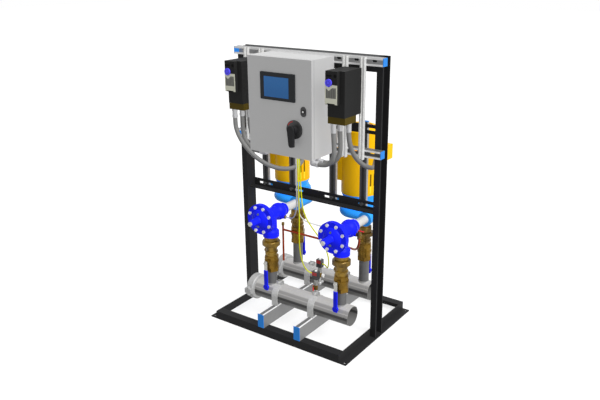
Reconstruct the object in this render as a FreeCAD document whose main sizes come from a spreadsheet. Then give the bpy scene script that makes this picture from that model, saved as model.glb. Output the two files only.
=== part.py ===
"""Twin booster pump set on a steel stand.

Millimetres. X runs to the right, Y to the back, Z up. The origin is on the floor, under the middle of
the base frame. The pumps stand side by side behind the portal frame, each one discharges forward
through an angle control valve and drops into the front header, and draws from the rear header.
"""
import FreeCAD, Part
import math
import os
import re
import Sketcher
from FreeCAD import Placement, Rotation, Vector

doc = FreeCAD.newDocument("booster_pump_set")

# Driving dimensions, grouped by the piece that they belong to.
DRIVING = {
    # base frame and portal
    "base_width": 965.2, "base_depth": 736.6, "frame_height": 1587.5,
    "rail_leg": 50.8, "rail_wall": 6.35,
    "anchor_bore": 14, "anchor_side": 17, "anchor_end": 17,
    "channel_depth": 76.2, "channel_flange": 35.8, "channel_web": 4.3, "flange_wall": 6.9,
    "top_bar_size": 76.2, "top_bar_wall": 4.8,
    "mid_bar_height": 741, "high_bar_height": 1171.5, "bar_leg": 50.8, "bar_wall": 6.35,
    "bar_slot_length": 102, "bar_slot_height": 14, "bar_slot_inner": 125, "bar_slot_outer": 351,
    # strut channel
    "strut_size": 41.3, "strut_wall": 2.6, "strut_mouth": 22.2, "strut_lip": 7,
    "cap_wall": 3,
    "strut_slot_length": 28, "strut_slot_height": 14, "strut_slot_pitch": 106,
    "floor_strut_middle": 35, "floor_strut_pitch": 254,
    "panel_strut_length": 957, "panel_strut_middle": 16.5, "low_strut_height": 1073.5,
    # headers
    "header_bore": 108.2, "header_size": 114.3, "front_header_y": -180, "rear_header_y": 146,
    "riser_root": 25, "front_nose": 74, "front_tail": 116, "rear_nose": 58, "rear_tail": 104.5,
    "groove_offset": 16, "groove_width": 9.5, "groove_deep": 2,
    "coupling_size": 152, "coupling_width": 46, "coupling_fit": 0.3, "end_cap_depth": 22,
    "pad_reach": 92, "pad_width": 44, "pad_height": 30, "pad_bolt": 13, "pad_bolt_head": 22,
    "clamp_width": 41, "clamp_wall": 3.2, "clamp_ear": 22, "clamp_gap": 14, "clamp_bolt": 9,
    # pumps
    "pump_pitch": 483, "pump_middle": -16, "pump_y": 175,
    "nozzle_offset": 105.5, "nozzle_height": 670, "nozzle_size": 74, "nozzle_face": 118,
    "suction_offset": 57, "suction_bottom": 632, "suction_boss": 84, "suction_bore": 52,
    "volute_base": 78, "volute_small": 22, "volute_wall": 8, "casing_drum": 156,
    "casing_bottom": 640, "casing_top": 728, "casing_flange": 226, "flange_thick": 12,
    "impeller_size": 132, "impeller_width": 26, "impeller_clear": 4,
    "plate_thick": 6.35, "plate_width": 240, "plate_rise": 44, "plate_back": 205,
    "plate_hole": 120, "plate_clear": 1.5, "post_offset": 100, "post_bottom": 745, "post_top": 1232,
    "post_deep": 20.6, "post_bolt": 12, "post_bolt_head": 21,
    "adapter_size": 206, "adapter_waist": 196, "adapter_rim": 12, "adapter_bore": 120,
    "adapter_height": 52,
    "motor_size": 214, "motor_wall": 8, "motor_height": 275, "end_shield": 14, "motor_neck": 200,
    "stator_wall": 18, "stator_bottom": 70, "stator_height": 150, "air_gap": 1.5,
    "shaft_size": 28, "running_fit": 0.06,
    "cowl_size": 208, "cowl_wall": 3, "cowl_height": 116, "cowl_round": 24, "intake_size": 130,
    "fan_size": 176, "fan_height": 34, "fan_level": 24, "fan_hub": 60, "blade_thick": 3,
    "left_box_reach": 132, "left_box_root": 60, "left_box_y": -80, "left_box_width": 70,
    "left_box_bottom": 858, "left_box_height": 182,
    "right_box_reach": 160, "right_box_root": 60, "right_box_middle": 130, "right_box_y": 15,
    "right_box_width": 70, "right_box_bottom": 990, "right_box_height": 83,
    # control valves and pipework
    "nipple_pipe": 50, "riser_pipe": 60.3, "pipe_bore": 40, "pipe_socket": 12, "pipe_clear": 0.25,
    "inlet_reach": 124, "inlet_collar": 74, "bulb_size": 100, "bulb_reach": 52, "bonnet_reach": 85,
    "valve_waist": 80, "valve_disc": 176, "valve_flange": 12, "valve_neck": 72,
    "outlet_drop": 128, "outlet_collar": 94, "collar_height": 32, "seat_reach": 94,
    "guide_bore": 60, "plunger_size": 50, "plunger_thick": 10, "stem_size": 12, "stem_length": 160,
    "stem_pocket": 62, "seat_gap": 0.3,
    "dome_size": 114, "dome_height": 16, "stub_size": 40, "stub_length": 80, "stub_nut": 26,
    "plug_offset": 36, "plug_size": 12,
    "bolt_circle": 145, "cover_bolt": 10, "cover_bolt_clear": 0.4, "cover_bolt_head": 19,
    "cover_head_height": 8,
    "port_boss": 24, "port_reach": 54, "port_drop": 25,
    "front_riser": 79, "front_valve_height": 93, "front_neck": 53, "front_ring": 46,
    "rear_riser": 136, "rear_valve_height": 102, "rear_neck": 42, "rear_ring": 34, "rear_hex": 40,
    "ball_body": 78, "ball_size": 52, "ball_clear": 0.4, "ball_level_front": 61,
    "ball_level_rear": 56, "hex_end": 88, "hex_end_height": 22, "gland_size": 30, "gland_reach": 50,
    "lever_reach": 60, "lever_length": 168, "lever_width": 26, "lever_thick": 12, "lever_strap": 4,
    "strap_width": 20, "grip_start": 45, "spindle": 12, "neck_size": 66, "ring_size": 108,
    "bush_size": 84,
    # gauges and small cocks
    "gauge_y_front": -93, "gauge_x_front": 102, "gauge_y_rear": 59, "gauge_x_rear": 26,
    "gauge_pipe": 17, "gauge_cock_rise": 42, "cock_size": 24, "cock_height": 30, "cock_boss": 12,
    "cock_boss_reach": 18, "cock_stem": 5, "cock_lever": 32, "cock_lever_width": 9,
    "cock_lever_thick": 3, "gauge_hex": 27, "gauge_hex_height": 16, "gauge_body": 26,
    "gauge_body_height": 22, "head_width": 38, "head_depth": 34, "head_height": 48,
    "copper_size": 12.7, "copper_x": -280, "copper_y": 100, "copper_level": 460, "copper_top": 490,
    # control panel
    "panel_width": 406.4, "panel_height": 508, "panel_depth": 203.2, "panel_middle": 6.5,
    "panel_bottom": 1071, "sheet_wall": 2, "door_depth": 21.2, "door_gap": 0.8, "panel_lip": 12,
    "hinge_out": 5.5, "hinge_size": 9, "hinge_pin": 5, "hinge_length": 20, "hinge_play": 0.5,
    "hinge_low": 110, "hinge_high": 380,
    "screen_width": 222, "screen_height": 142, "screen_proud": 6, "screen_deep": 30,
    "screen_level": 1431.5, "window_width": 157, "window_height": 104,
    "window_shift": -7, "window_sunk": 1,
    "lock_x": 161.5, "lock_level": 1320, "lock_width": 34, "lock_height": 52, "lock_proud": 5,
    "lock_plug": 18, "lock_cam_length": 30,
    "switch_x": 105, "switch_level": 1222, "switch_size": 98, "switch_proud": 8, "switch_hub": 44,
    "switch_hub_height": 20, "switch_lever": 88, "switch_lever_width": 22, "switch_spindle": 10,
    # drives
    "rail_size": 25.4, "rail_deep": 20.6, "rail_gauge": 2, "rail_mouth": 10, "rail_lip": 5,
    "rail_bottom": 1062, "rail_spread": 52,
    "drive_left": -313.8, "drive_right": 336.2, "drive_width": 101.6, "drive_depth": 155,
    "drive_height": 229, "drive_level": 1307, "keypad_width": 71, "keypad_proud": 21,
    "keypad_drop": 164, "dial_x": 22.6, "dial_drop": 57, "dial_size": 37, "dial_thick": 7,
    "dial_spindle": 8, "gland_box_height": 36, "gland_box_depth": 105, "gland_box_lip": 5,
    "gland_near": 25, "gland_far": 77, "gland_front": 15, "gland_rear": 75,
    "gland_nut": 34, "gland_barrel": 28, "gland_drop": 49,
    "conduit_size": 25, "cable_size": 7, "motor_gland": 22, "motor_gland_level": 1012,
    "elbow_right": 185, "elbow_left": -155, "elbow_reach": 38, "elbow_drop": 27,
}

# Values worked out from the driving ones.
DERIVED = {
    "rail_inner": "base_width / 2 - rail_leg",
    "web_face": "rail_inner + rail_wall",
    "portal_front": "-channel_depth / 2",
    "portal_back": "channel_depth / 2",
    "strut_front": "portal_front - strut_size",
    "rail_front": "strut_front - rail_deep",
    "panel_front": "strut_front - panel_depth",
    "panel_left": "panel_middle - panel_width / 2",
    "body_front": "panel_front + door_depth + door_gap",
    "hinge_x": "panel_left - hinge_out",
    "hinge_y": "body_front - 1.4",
    "header_level": "rail_leg + 2 * strut_size + header_size / 2",
    "header_top": "header_level + header_size / 2",
    "adapter_bottom": "casing_top + plate_thick",
    "motor_bottom": "adapter_bottom + adapter_height",
    "motor_top": "motor_bottom + motor_height",
    "nozzle_y": "pump_y - nozzle_face",
    "valve_inlet_y": "front_header_y + inlet_reach",
    "bonnet_y": "front_header_y - bonnet_reach",
    "cover_y": "bonnet_y - valve_flange",
    "valve_bottom": "nozzle_height - outlet_drop",
    "front_base": "header_top + front_riser",
    "rear_base": "header_top + rear_riser",
    "front_ball": "front_base + ball_level_front",
    "rear_ball": "rear_base + ball_level_rear",
    "port_level": "nozzle_height - port_drop",
    "port_y": "valve_inlet_y - bulb_reach",
    "drive_front": "rail_front - drive_depth",
    "keypad_front": "drive_front - keypad_proud",
    "gland_level": "drive_level - gland_box_height",
    "gland_end": "gland_level - gland_drop",
    "elbow_level": "panel_bottom - elbow_drop",
}

sheet = doc.addObject("Spreadsheet::Sheet", "Sizes")
for row, (alias, content) in enumerate([*DRIVING.items(), *DERIVED.items()], start=1):
    sheet.set(f"A{row}", alias)
    sheet.set(f"B{row}", f"={content}" if isinstance(content, str) else str(content))
    sheet.setAlias(f"B{row}", alias)
doc.recompute()

ALIASES = set(DRIVING) | set(DERIVED)


def named(text):
    """Points the sheet's words in an expression at the sheet."""
    return re.sub(r"[a-z_]\w*", lambda word: f"Sizes.{word[0]}" if word[0] in ALIASES else word[0], text)


def size(text):
    """The present value of an expression, in millimetres or degrees."""
    result = sheet.evalExpression(named(str(text)))
    return float(getattr(result, "Value", result))


def bind(thing, path, text):
    thing.setExpression(path, named(str(text)))


TURNS = {
    "+z": Rotation(),
    "-z": Rotation(Vector(1, 0, 0), 180),
    "+x": Rotation(Vector(0, 1, 0), 90),
    "-x": Rotation(Vector(0, 1, 0), -90),
    "+y": Rotation(Vector(1, 0, 0), -90),
    "-y": Rotation(Vector(1, 0, 0), 90),
}


def place(thing, x, y, z, turn="+z"):
    """Puts a piece at x, y, z with its own Z axis along the named direction."""
    rotation = TURNS[turn] if isinstance(turn, str) else turn
    thing.Placement = Placement(Vector(size(x), size(y), size(z)), rotation)
    for axis, text in zip("xyz", (x, y, z)):
        bind(thing, f"Placement.Base.{axis}", text)
    return thing


def box(x, y, z, length, width, height):
    """A box from its low corner."""
    thing = doc.addObject("Part::Box", "Block")
    bind(thing, "Length", length)
    bind(thing, "Width", width)
    bind(thing, "Height", height)
    return place(thing, x, y, z)


def rod(diameter, length, x, y, z, turn="+z"):
    thing = doc.addObject("Part::Cylinder", "Rod")
    bind(thing, "Radius", f"({diameter}) / 2")
    bind(thing, "Height", length)
    return place(thing, x, y, z, turn)


def taper(first, second, length, x, y, z, turn="+z"):
    thing = doc.addObject("Part::Cone", "Taper")
    bind(thing, "Radius1", f"({first}) / 2")
    bind(thing, "Radius2", f"({second}) / 2")
    bind(thing, "Height", length)
    return place(thing, x, y, z, turn)


def ball(diameter, x, y, z):
    thing = doc.addObject("Part::Sphere", "Ball")
    bind(thing, "Radius", f"({diameter}) / 2")
    return place(thing, x, y, z)


def hexagon(across_corners, length, x, y, z, turn="+z"):
    thing = doc.addObject("Part::Prism", "Hexagon")
    thing.Polygon = 6
    bind(thing, "Circumradius", f"({across_corners}) / 2")
    bind(thing, "Height", length)
    return place(thing, x, y, z, turn)


def fuse(*pieces):
    thing = doc.addObject("Part::MultiFuse", "Joined")
    thing.Shapes = list(pieces)
    return thing


def cut(base, *tools):
    thing = doc.addObject("Part::Cut", "Trimmed")
    thing.Base = base
    thing.Tool = tools[0] if len(tools) == 1 else fuse(*tools)
    return thing


def rounded(base, radius, *edges):
    thing = doc.addObject("Part::Fillet", "Rounded")
    thing.Base = base
    doc.recompute()
    thing.Edges = [(edge, size(radius), size(radius)) for edge in edges]
    return thing


def tube(outer, inner, length, x, y, z, turn="+z"):
    return cut(rod(outer, length, x, y, z, turn), rod(inner, length, x, y, z, turn))


def slot(x, y, z, length, height, deep):
    """A round-ended slot through a plate, cut along +Y from y."""
    middle = box(f"{x} - ({length} - {height}) / 2", y, f"{z} - {height} / 2",
                 f"{length} - {height}", deep, height)
    ends = [rod(height, deep, f"{x} + {side} * ({length} - {height}) / 2", y, z, "+y")
            for side in (-1, 1)]
    return fuse(middle, *ends)


def outline(body, plane, points):
    """A closed polygon on one of the body's origin planes, each corner held by its own sizes."""
    sketch = body.newObject("Sketcher::SketchObject", "Outline")
    support = next(item for item in body.Origin.OriginFeatures if item.Role == plane)
    sketch.AttachmentSupport = [(support, "")]
    sketch.MapMode = "FlatFace"
    corners = [Vector(size(across), size(up), 0) for across, up in points]
    for index, corner in enumerate(corners):
        sketch.addGeometry(Part.LineSegment(corner, corners[(index + 1) % len(corners)]), False)
    for index in range(len(corners)):
        following = (index + 1) % len(corners)
        sketch.addConstraint(Sketcher.Constraint("Coincident", index, 2, following, 1))
    for index, point in enumerate(points):
        for kind, text, axis in zip(("DistanceX", "DistanceY"), point, (-2, -1)):
            if text == "0":
                sketch.addConstraint(Sketcher.Constraint("PointOnObject", index, 1, axis))
                continue
            held = sketch.addConstraint(Sketcher.Constraint(kind, -1, 1, index, 1, size(text)))
            bind(sketch, f"Constraints[{held}]", text)
    return sketch


def bar(plane, points, length, x, y, z):
    """A profile padded along +Z (XY plane), -Y (XZ plane) or +X (YZ plane)."""
    body = doc.addObject("PartDesign::Body", "Bar")
    pad = body.newObject("PartDesign::Pad", "Length")
    pad.Profile = outline(body, plane, points)
    bind(pad, "Length", length)
    return place(body, x, y, z)


def turned(points, x, y, z, turn="+z"):
    """A profile of radius and height turned about its own Z axis."""
    body = doc.addObject("PartDesign::Body", "Turned")
    sketch = outline(body, "XZ_Plane", points)
    spin = body.newObject("PartDesign::Revolution", "Spin")
    spin.Profile = sketch
    spin.ReferenceAxis = (sketch, ["V_Axis"])
    spin.Angle = 360
    return place(body, x, y, z, turn)


NODES = []


def node(label, *pieces):
    """Names one sub-part. Several pieces stay separate solids in one group."""
    if len(pieces) == 1:
        thing = pieces[0]
    else:
        thing = doc.addObject("Part::Compound", "Group")
        thing.Links = list(pieces)
    thing.Label = label
    NODES.append(thing)
    return thing


PUMPS = ("pump_middle - pump_pitch / 2", "pump_middle + pump_pitch / 2")
SIDES = (-1, 1)


# Base frame and portal

def side_rail(side):
    angle = bar("XZ_Plane", [
        (f"{side} * rail_inner", "0"),
        (f"{side} * base_width / 2", "0"),
        (f"{side} * base_width / 2", "rail_wall"),
        (f"{side} * web_face", "rail_wall"),
        (f"{side} * web_face", "rail_leg"),
        (f"{side} * rail_inner", "rail_leg"),
    ], "base_depth", "0", "base_depth / 2", "0")
    anchors = [rod("anchor_bore", "rail_wall", f"{side} * (base_width / 2 - anchor_side)",
                   f"{end} * (base_depth / 2 - anchor_end)", "0") for end in SIDES]
    return cut(angle, *anchors)


def cross_rail(side):
    return bar("YZ_Plane", [
        (f"{side} * base_depth / 2", "0"),
        (f"{side} * base_depth / 2", "rail_leg"),
        (f"{side} * (base_depth / 2 - rail_leg)", "rail_leg"),
        (f"{side} * (base_depth / 2 - rail_leg)", "rail_leg - rail_wall"),
        (f"{side} * (base_depth / 2 - rail_wall)", "rail_leg - rail_wall"),
        (f"{side} * (base_depth / 2 - rail_wall)", "0"),
    ], "2 * rail_inner", "-rail_inner", "0", "0")


def upright(side):
    """A channel that opens outward, its web welded to the side rail."""
    return bar("XY_Plane", [
        ("0", "-channel_depth / 2"),
        (f"{side} * channel_flange", "-channel_depth / 2"),
        (f"{side} * channel_flange", "-channel_depth / 2 + flange_wall"),
        (f"{side} * channel_web", "-channel_depth / 2 + flange_wall"),
        (f"{side} * channel_web", "channel_depth / 2 - flange_wall"),
        (f"{side} * channel_flange", "channel_depth / 2 - flange_wall"),
        (f"{side} * channel_flange", "channel_depth / 2"),
        ("0", "channel_depth / 2"),
    ], "frame_height - rail_wall", f"{side} * web_face", "0", "rail_wall")


def bar_slots(level):
    return [slot(f"{side} * {reach}", "portal_back - 2 * bar_wall", level, "bar_slot_length",
                 "bar_slot_height", "3 * bar_wall")
            for side in SIDES for reach in ("bar_slot_inner", "bar_slot_outer")]


def slotted_crossbars():
    angle = bar("YZ_Plane", [
        ("portal_back", "0"),
        ("portal_back", "bar_leg"),
        ("portal_back - bar_wall", "bar_leg"),
        ("portal_back - bar_wall", "bar_wall"),
        ("portal_back - bar_leg", "bar_wall"),
        ("portal_back - bar_leg", "0"),
    ], "2 * web_face", "-web_face", "0", "mid_bar_height")
    flat = box("-web_face", "portal_back - bar_wall", "high_bar_height", "2 * web_face", "bar_wall",
               "bar_leg")
    return (cut(angle, *bar_slots("mid_bar_height + bar_leg / 2 + 1.5")),
            cut(flat, *bar_slots("high_bar_height + bar_leg / 2")))


def top_crossbar():
    outer = box("-web_face", "portal_front", "frame_height - top_bar_size", "2 * web_face",
                "top_bar_size", "top_bar_size")
    inner = box("-web_face", "portal_front + top_bar_wall",
                "frame_height - top_bar_size + top_bar_wall", "2 * web_face",
                "top_bar_size - 2 * top_bar_wall", "top_bar_size - 2 * top_bar_wall")
    return cut(outer, inner)


node("base_rails", *[rail(side) for side in SIDES for rail in (side_rail, cross_rail)])
node("uprights", *[upright(side) for side in SIDES])
node("top_crossbar", top_crossbar())
node("slotted_crossbars", *slotted_crossbars())


# Strut channel, its end caps and the drive rails

def channel_corners(width, deep, wall, mouth, lip):
    """A lipped channel as (across, depth), open at depth 0 and even about its middle."""
    gap = f"{mouth} / 2"
    half = f"{width} / 2"
    outside = [(gap, "0"), (half, "0"), (half, deep)]
    inside = [
        (f"{half} - {wall}", f"{deep} - {wall}"),
        (f"{half} - {wall}", wall),
        (f"{gap} + {wall}", wall),
        (f"{gap} + {wall}", lip),
        (gap, lip),
    ]
    far_outside = [(f"-({across})", depth) for across, depth in reversed(outside)]
    far_inside = [(f"-({across})", depth) for across, depth in reversed(inside)]
    return outside + far_outside + far_inside + inside


STRUT = channel_corners("strut_size", "strut_size", "strut_wall", "strut_mouth", "strut_lip")
SHALLOW = channel_corners("strut_size", "post_deep", "strut_wall", "strut_mouth", "strut_lip")
RAIL = channel_corners("rail_size", "rail_deep", "rail_gauge", "rail_mouth", "rail_lip")


def post(x):
    return bar("XY_Plane", SHALLOW, "post_top - post_bottom", x, "portal_back", "post_bottom")


def post_bolts(x):
    """A bolt through each crossbar into the post."""
    bolts = []
    for level in ("mid_bar_height + bar_leg / 2 + 1.5", "high_bar_height + bar_leg / 2"):
        shank = rod("post_bolt", "bar_wall + 12", x, "portal_back + 12", level, "-y")
        head = hexagon("post_bolt_head", "8", x, "portal_back - bar_wall", level, "-y")
        bolts.append(fuse(shank, head))
    return bolts


def panel_strut(level):
    corners = [(depth, across) for across, depth in STRUT]
    strut = bar("YZ_Plane", corners, "panel_strut_length",
                "panel_strut_middle - panel_strut_length / 2", "strut_front",
                f"{level} + strut_size / 2")
    windows = [slot(f"2 + {step} * strut_slot_pitch", "portal_front - 2 * strut_wall",
                    f"{level} + strut_size / 2", "strut_slot_length", "strut_slot_height",
                    "3 * strut_wall")
               for step in range(-4, 5)]
    return cut(strut, *windows)


def floor_strut(x):
    """Two channels back to back, one open to the floor and one to the pipes."""
    lower = bar("XZ_Plane", STRUT, "base_depth", x, "base_depth / 2", "rail_leg")
    flipped = [(across, f"-({depth})" if depth != "0" else "0") for across, depth in STRUT]
    upper = bar("XZ_Plane", flipped, "base_depth", x, "base_depth / 2", "rail_leg + 2 * strut_size")
    return lower, upper


def drive_rail(x):
    return bar("XY_Plane", RAIL, "frame_height - rail_bottom", x, "rail_front", "rail_bottom")


FLOOR_STRUTS = [f"floor_strut_middle + {side} * floor_strut_pitch / 2" for side in SIDES]
POSTS = [f"{axis} + {side} * post_offset" for axis in PUMPS for side in SIDES]
PANEL_STRUTS = ("low_strut_height", "frame_height - strut_size")
DRIVES = {"left": "drive_left", "right": "drive_right"}

node("pump_posts", *[post(x) for x in POSTS], *[bolt for x in POSTS for bolt in post_bolts(x)])
node("panel_struts", *[panel_strut(level) for level in PANEL_STRUTS])
node("header_struts", *[half for x in FLOOR_STRUTS for half in floor_strut(x)])
node("drive_rails", *[drive_rail(f"{axis} + {side} * rail_spread") for axis in DRIVES.values()
                      for side in SIDES])

caps = []
for x in FLOOR_STRUTS:
    for y in ("-base_depth / 2 - cap_wall", "base_depth / 2"):
        caps.append(box(f"{x} - strut_size / 2", y, "rail_leg", "strut_size", "cap_wall",
                        "2 * strut_size"))
for level in PANEL_STRUTS:
    for x in ("panel_strut_middle - panel_strut_length / 2 - cap_wall",
              "panel_strut_middle + panel_strut_length / 2"):
        caps.append(box(x, "strut_front", level, "cap_wall", "strut_size", "strut_size"))
for x in POSTS:
    caps.append(box(f"{x} - strut_size / 2", "portal_back", "post_top", "strut_size", "post_deep",
                    "cap_wall"))
node("strut_end_caps", *caps)


# Headers

def header(y, left, right, risers, riser_size, riser_top):
    """A pipe with roll grooves at both ends and a welded riser for each pump."""
    length = f"({right}) - ({left})"
    outside = [rod("header_size", length, left, y, "header_level", "+x")]
    inside = [rod("header_bore", f"{length} + 2", f"{left} - 1", y, "header_level", "+x")]
    for x in risers:
        outside.append(rod(riser_size, f"{riser_top} - header_level - riser_root", x, y,
                           "header_level + riser_root"))
        inside.append(rod("pipe_bore", f"{riser_top} - header_level + 1", x, y, "header_level"))
    for x in (f"{left} + groove_offset", f"{right} - groove_offset - groove_width"):
        inside.append(tube("header_size + 10", "header_size - 2 * groove_deep", "groove_width", x, y,
                           "header_level", "+x"))
    return cut(fuse(*outside), *inside)


def coupling(y, left):
    """A grooved coupling in two halves over the header's end, keyed into its groove."""
    fit = "header_size / 2 + coupling_fit"
    key = "header_size / 2 - groove_deep + coupling_fit"
    middle = "coupling_width / 2"
    ring = turned([
        (fit, "0"), ("coupling_size / 2 - 5", "0"), ("coupling_size / 2", "5"),
        ("coupling_size / 2", "coupling_width - 5"), ("coupling_size / 2 - 5", "coupling_width"),
        (fit, "coupling_width"),
        (fit, f"{middle} + groove_offset + groove_width - 1"),
        (key, f"{middle} + groove_offset + groove_width - 1"),
        (key, f"{middle} + groove_offset + 1"),
        (fit, f"{middle} + groove_offset + 1"),
    ], f"{left} - {middle}", y, "header_level", "+x")
    pads = [box(f"{left} - pad_width / 2", f"{y} + {side} * (pad_reach + header_size / 2 + 8) / 2"
                f" - (pad_reach - header_size / 2 - 8) / 2", "header_level - pad_height / 2",
                "pad_width", "pad_reach - header_size / 2 - 8", "pad_height") for side in SIDES]
    bolts = [rod("pad_bolt", "pad_height + 26", left, f"{y} + {side} * (pad_reach - 9)",
                 "header_level - pad_height / 2 - 13") for side in SIDES]
    heads = [hexagon("pad_bolt_head", "9", left, f"{y} + {side} * (pad_reach - 9)", level)
             for side in SIDES
             for level in ("header_level + pad_height / 2", "header_level - pad_height / 2 - 9")]
    return fuse(ring, *pads, *bolts, *heads)


def end_cap(y, left):
    """The blank that closes the header, held by the coupling."""
    return turned([
        ("0", "0"), ("header_size / 2 - 4", "0"), ("header_size / 2", "4"),
        ("header_size / 2", "end_cap_depth"), ("0", "end_cap_depth"),
    ], f"{left} - end_cap_depth", y, "header_level", "+x")


NOZZLES = [f"{axis} + nozzle_offset" for axis in PUMPS]
EYES = [f"{axis} + suction_offset" for axis in PUMPS]
FRONT_ENDS = (f"{NOZZLES[0]} - front_tail", f"{NOZZLES[1]} + front_nose")
REAR_ENDS = (f"{EYES[0]} - rear_tail", f"{EYES[1]} + rear_nose")

node("discharge_header", header("front_header_y", *FRONT_ENDS, NOZZLES, "riser_pipe",
                                "front_base + pipe_socket"))
node("suction_header", header("rear_header_y", *REAR_ENDS, EYES, "riser_pipe",
                              "rear_base + pipe_socket"))
node("end_couplings", coupling("front_header_y", FRONT_ENDS[0]),
     end_cap("front_header_y", FRONT_ENDS[0]),
     coupling("rear_header_y", REAR_ENDS[0]), end_cap("rear_header_y", REAR_ENDS[0]))


def pipe_clamp(x, y):
    """A strap in two halves over the header, bolted together above it and hooked into the strut."""
    left = f"{x} - clamp_width / 2"
    outer = "header_size / 2 + clamp_wall"
    band = cut(
        fuse(rod(f"2 * ({outer})", "clamp_width", left, y, "header_level", "+x"),
             box(left, f"{y} - ({outer})", "header_level - header_size / 2", "clamp_width",
                 f"2 * ({outer})", "header_size / 2")),
        rod("header_size", "clamp_width + 2", f"{left} - 1", y, "header_level", "+x"),
        box(f"{left} - 1", f"{y} - header_size / 2", "header_level - header_size", "clamp_width + 2",
            "header_size", "header_size"))
    ears = [box(left, f"{y} + {side} * (clamp_gap / 2 + clamp_wall / 2) - clamp_wall / 2",
                "header_level + header_size / 2", "clamp_width", "clamp_wall", "clamp_ear")
            for side in SIDES]
    gap = box(f"{left} - 1", f"{y} - clamp_gap / 2", "header_top - 2", "clamp_width + 2",
              "clamp_gap", "clamp_ear + 10")
    level = "header_top + clamp_ear - 8"
    bolt = rod("clamp_bolt", "clamp_gap + 34", x, f"{y} - clamp_gap / 2 - 17", level, "+y")
    heads = [hexagon("17", "7", x, f"{y} - clamp_gap / 2 - clamp_wall", level, "-y"),
             hexagon("17", "7", x, f"{y} + clamp_gap / 2 + clamp_wall", level, "+y")]
    return fuse(cut(fuse(band, *ears), gap), bolt, *heads)


node("pipe_clamps", *[pipe_clamp(x, y) for x in FLOOR_STRUTS
                      for y in ("front_header_y", "rear_header_y")])


# Ball valves and the fittings above them

def ball_valve(x, y, base, height, level, side, riser_size):
    """A two-piece body with a hexagon at each end and the spindle gland on one side."""
    turn = "-y" if side < 0 else "+y"
    body = fuse(
        hexagon("hex_end", "hex_end_height", x, y, base),
        hexagon("hex_end", "hex_end_height", x, y, f"{base} + {height} - hex_end_height"),
        rod("ball_body", f"{height} - 8", x, y, f"{base} + 4"),
        rod("ball_body + 6", "10", x, y, f"{level} - 5"),
        rod("gland_size", "gland_reach", x, y, level, turn),
        hexagon("gland_size + 4", "8", x, y, level, turn))
    nut = hexagon("gland_size + 4", "10", x, f"{y} + {side} * (gland_reach - 14)", level, turn)
    return cut(
        fuse(body, nut),
        ball("ball_size + 2 * ball_clear", x, y, level),
        rod("pipe_bore", f"{height} + 2", x, y, f"{base} - 1"),
        rod(f"{riser_size} + 2 * pipe_clear", "pipe_socket + 1", x, y, f"{base} - 1"),
        rod("spindle + 2 * running_fit", "gland_reach + 1", x, y, level, turn))


def lever(x, y, level, side):
    """The ball, its spindle and the hanging handle in one piece."""
    turn = "-y" if side < 0 else "+y"
    drilled = cut(ball("ball_size", x, y, level),
                  rod("pipe_bore", "ball_size + 2", x, y, f"{level} - ball_size / 2 - 1"))
    spindle = rod("spindle", "lever_reach + 6", x, y, level, turn)
    hollow = rod("pipe_bore", "ball_size + 2", x, y, f"{level} - ball_size / 2 - 1")
    strap = box(f"{x} - strap_width / 2",
                f"{y} + {side} * (lever_reach - lever_strap / 2) - lever_strap / 2",
                f"{level} - grip_start - 10", "strap_width", "lever_strap", "grip_start + 22")
    nut = hexagon("21", "8", x, f"{y} + {side} * (lever_reach - 1)", level, turn)
    middle = f"{y} + {side} * (lever_reach - lever_strap / 2)"
    grip = box(f"{x} - lever_width / 2", f"{middle} - lever_thick / 2", f"{level} - lever_length",
               "lever_width", "lever_thick", "lever_length - grip_start")
    return fuse(cut(fuse(drilled, spindle), hollow), strap, nut, rounded(grip, "5", 1, 3, 5, 7))


def fitting(points, x, y, base, *across_flats):
    """A turned brass fitting, its nut trimmed to a hexagon where that is asked for."""
    piece = turned(points, x, y, base)
    if not across_flats:
        return piece
    flats = doc.addObject("Part::MultiCommon", "Flats")
    flats.Shapes = [piece, hexagon(*across_flats, x, y, base)]
    return flats


def neck(x, y, base, height):
    """A short reducing piece with a test boss."""
    body = fuse(
        rod("neck_size", height, x, y, base),
        rod("neck_size + 10", "8", x, y, f"{base} + {height} / 2 - 4"),
        rod("22", "neck_size / 2 + 12", x, y, f"{base} + {height} / 2", "-x"),
        rod("22", "neck_size / 2 + 12", x, y, f"{base} + {height} / 2", "-y"))
    return cut(body, rod("pipe_bore", f"{height} + 2", x, y, f"{base} - 1"),
               ball("ball_size + 2 * ball_clear", x, y, f"{base} - front_valve_height"
                    " + ball_level_front"))


def union_ring(x, y, base, height):
    """The union's ring nut over its two tail pieces."""
    return fitting([
        ("pipe_bore / 2", "0"), ("neck_size / 2 + 4", "0"), ("neck_size / 2 + 4", f"{height} * 0.3"),
        ("ring_size / 2 - 4", f"{height} * 0.3"), ("ring_size / 2", f"{height} * 0.3 + 4"),
        ("ring_size / 2", f"{height} * 0.78"), ("ring_size / 2 - 5", f"{height} * 0.9"),
        ("neck_size / 2 + 2", f"{height} * 0.9"), ("neck_size / 2 + 2", height),
        ("pipe_bore / 2", height),
    ], x, y, base, "ring_size * 1.08", height)


def bush(x, y, base, height):
    """A hexagon bush."""
    return fitting([
        ("pipe_bore / 2", "0"), ("neck_size / 2", "0"), ("bush_size / 2", "3"),
        ("bush_size / 2", f"{height} * 0.7"), ("bush_size / 2 - 4", f"{height} * 0.78"),
        ("neck_size / 2 - 2", f"{height} * 0.78"), ("neck_size / 2 - 2", height),
        ("pipe_bore / 2", height),
    ], x, y, base, "bush_size * 1.06", height)


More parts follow.
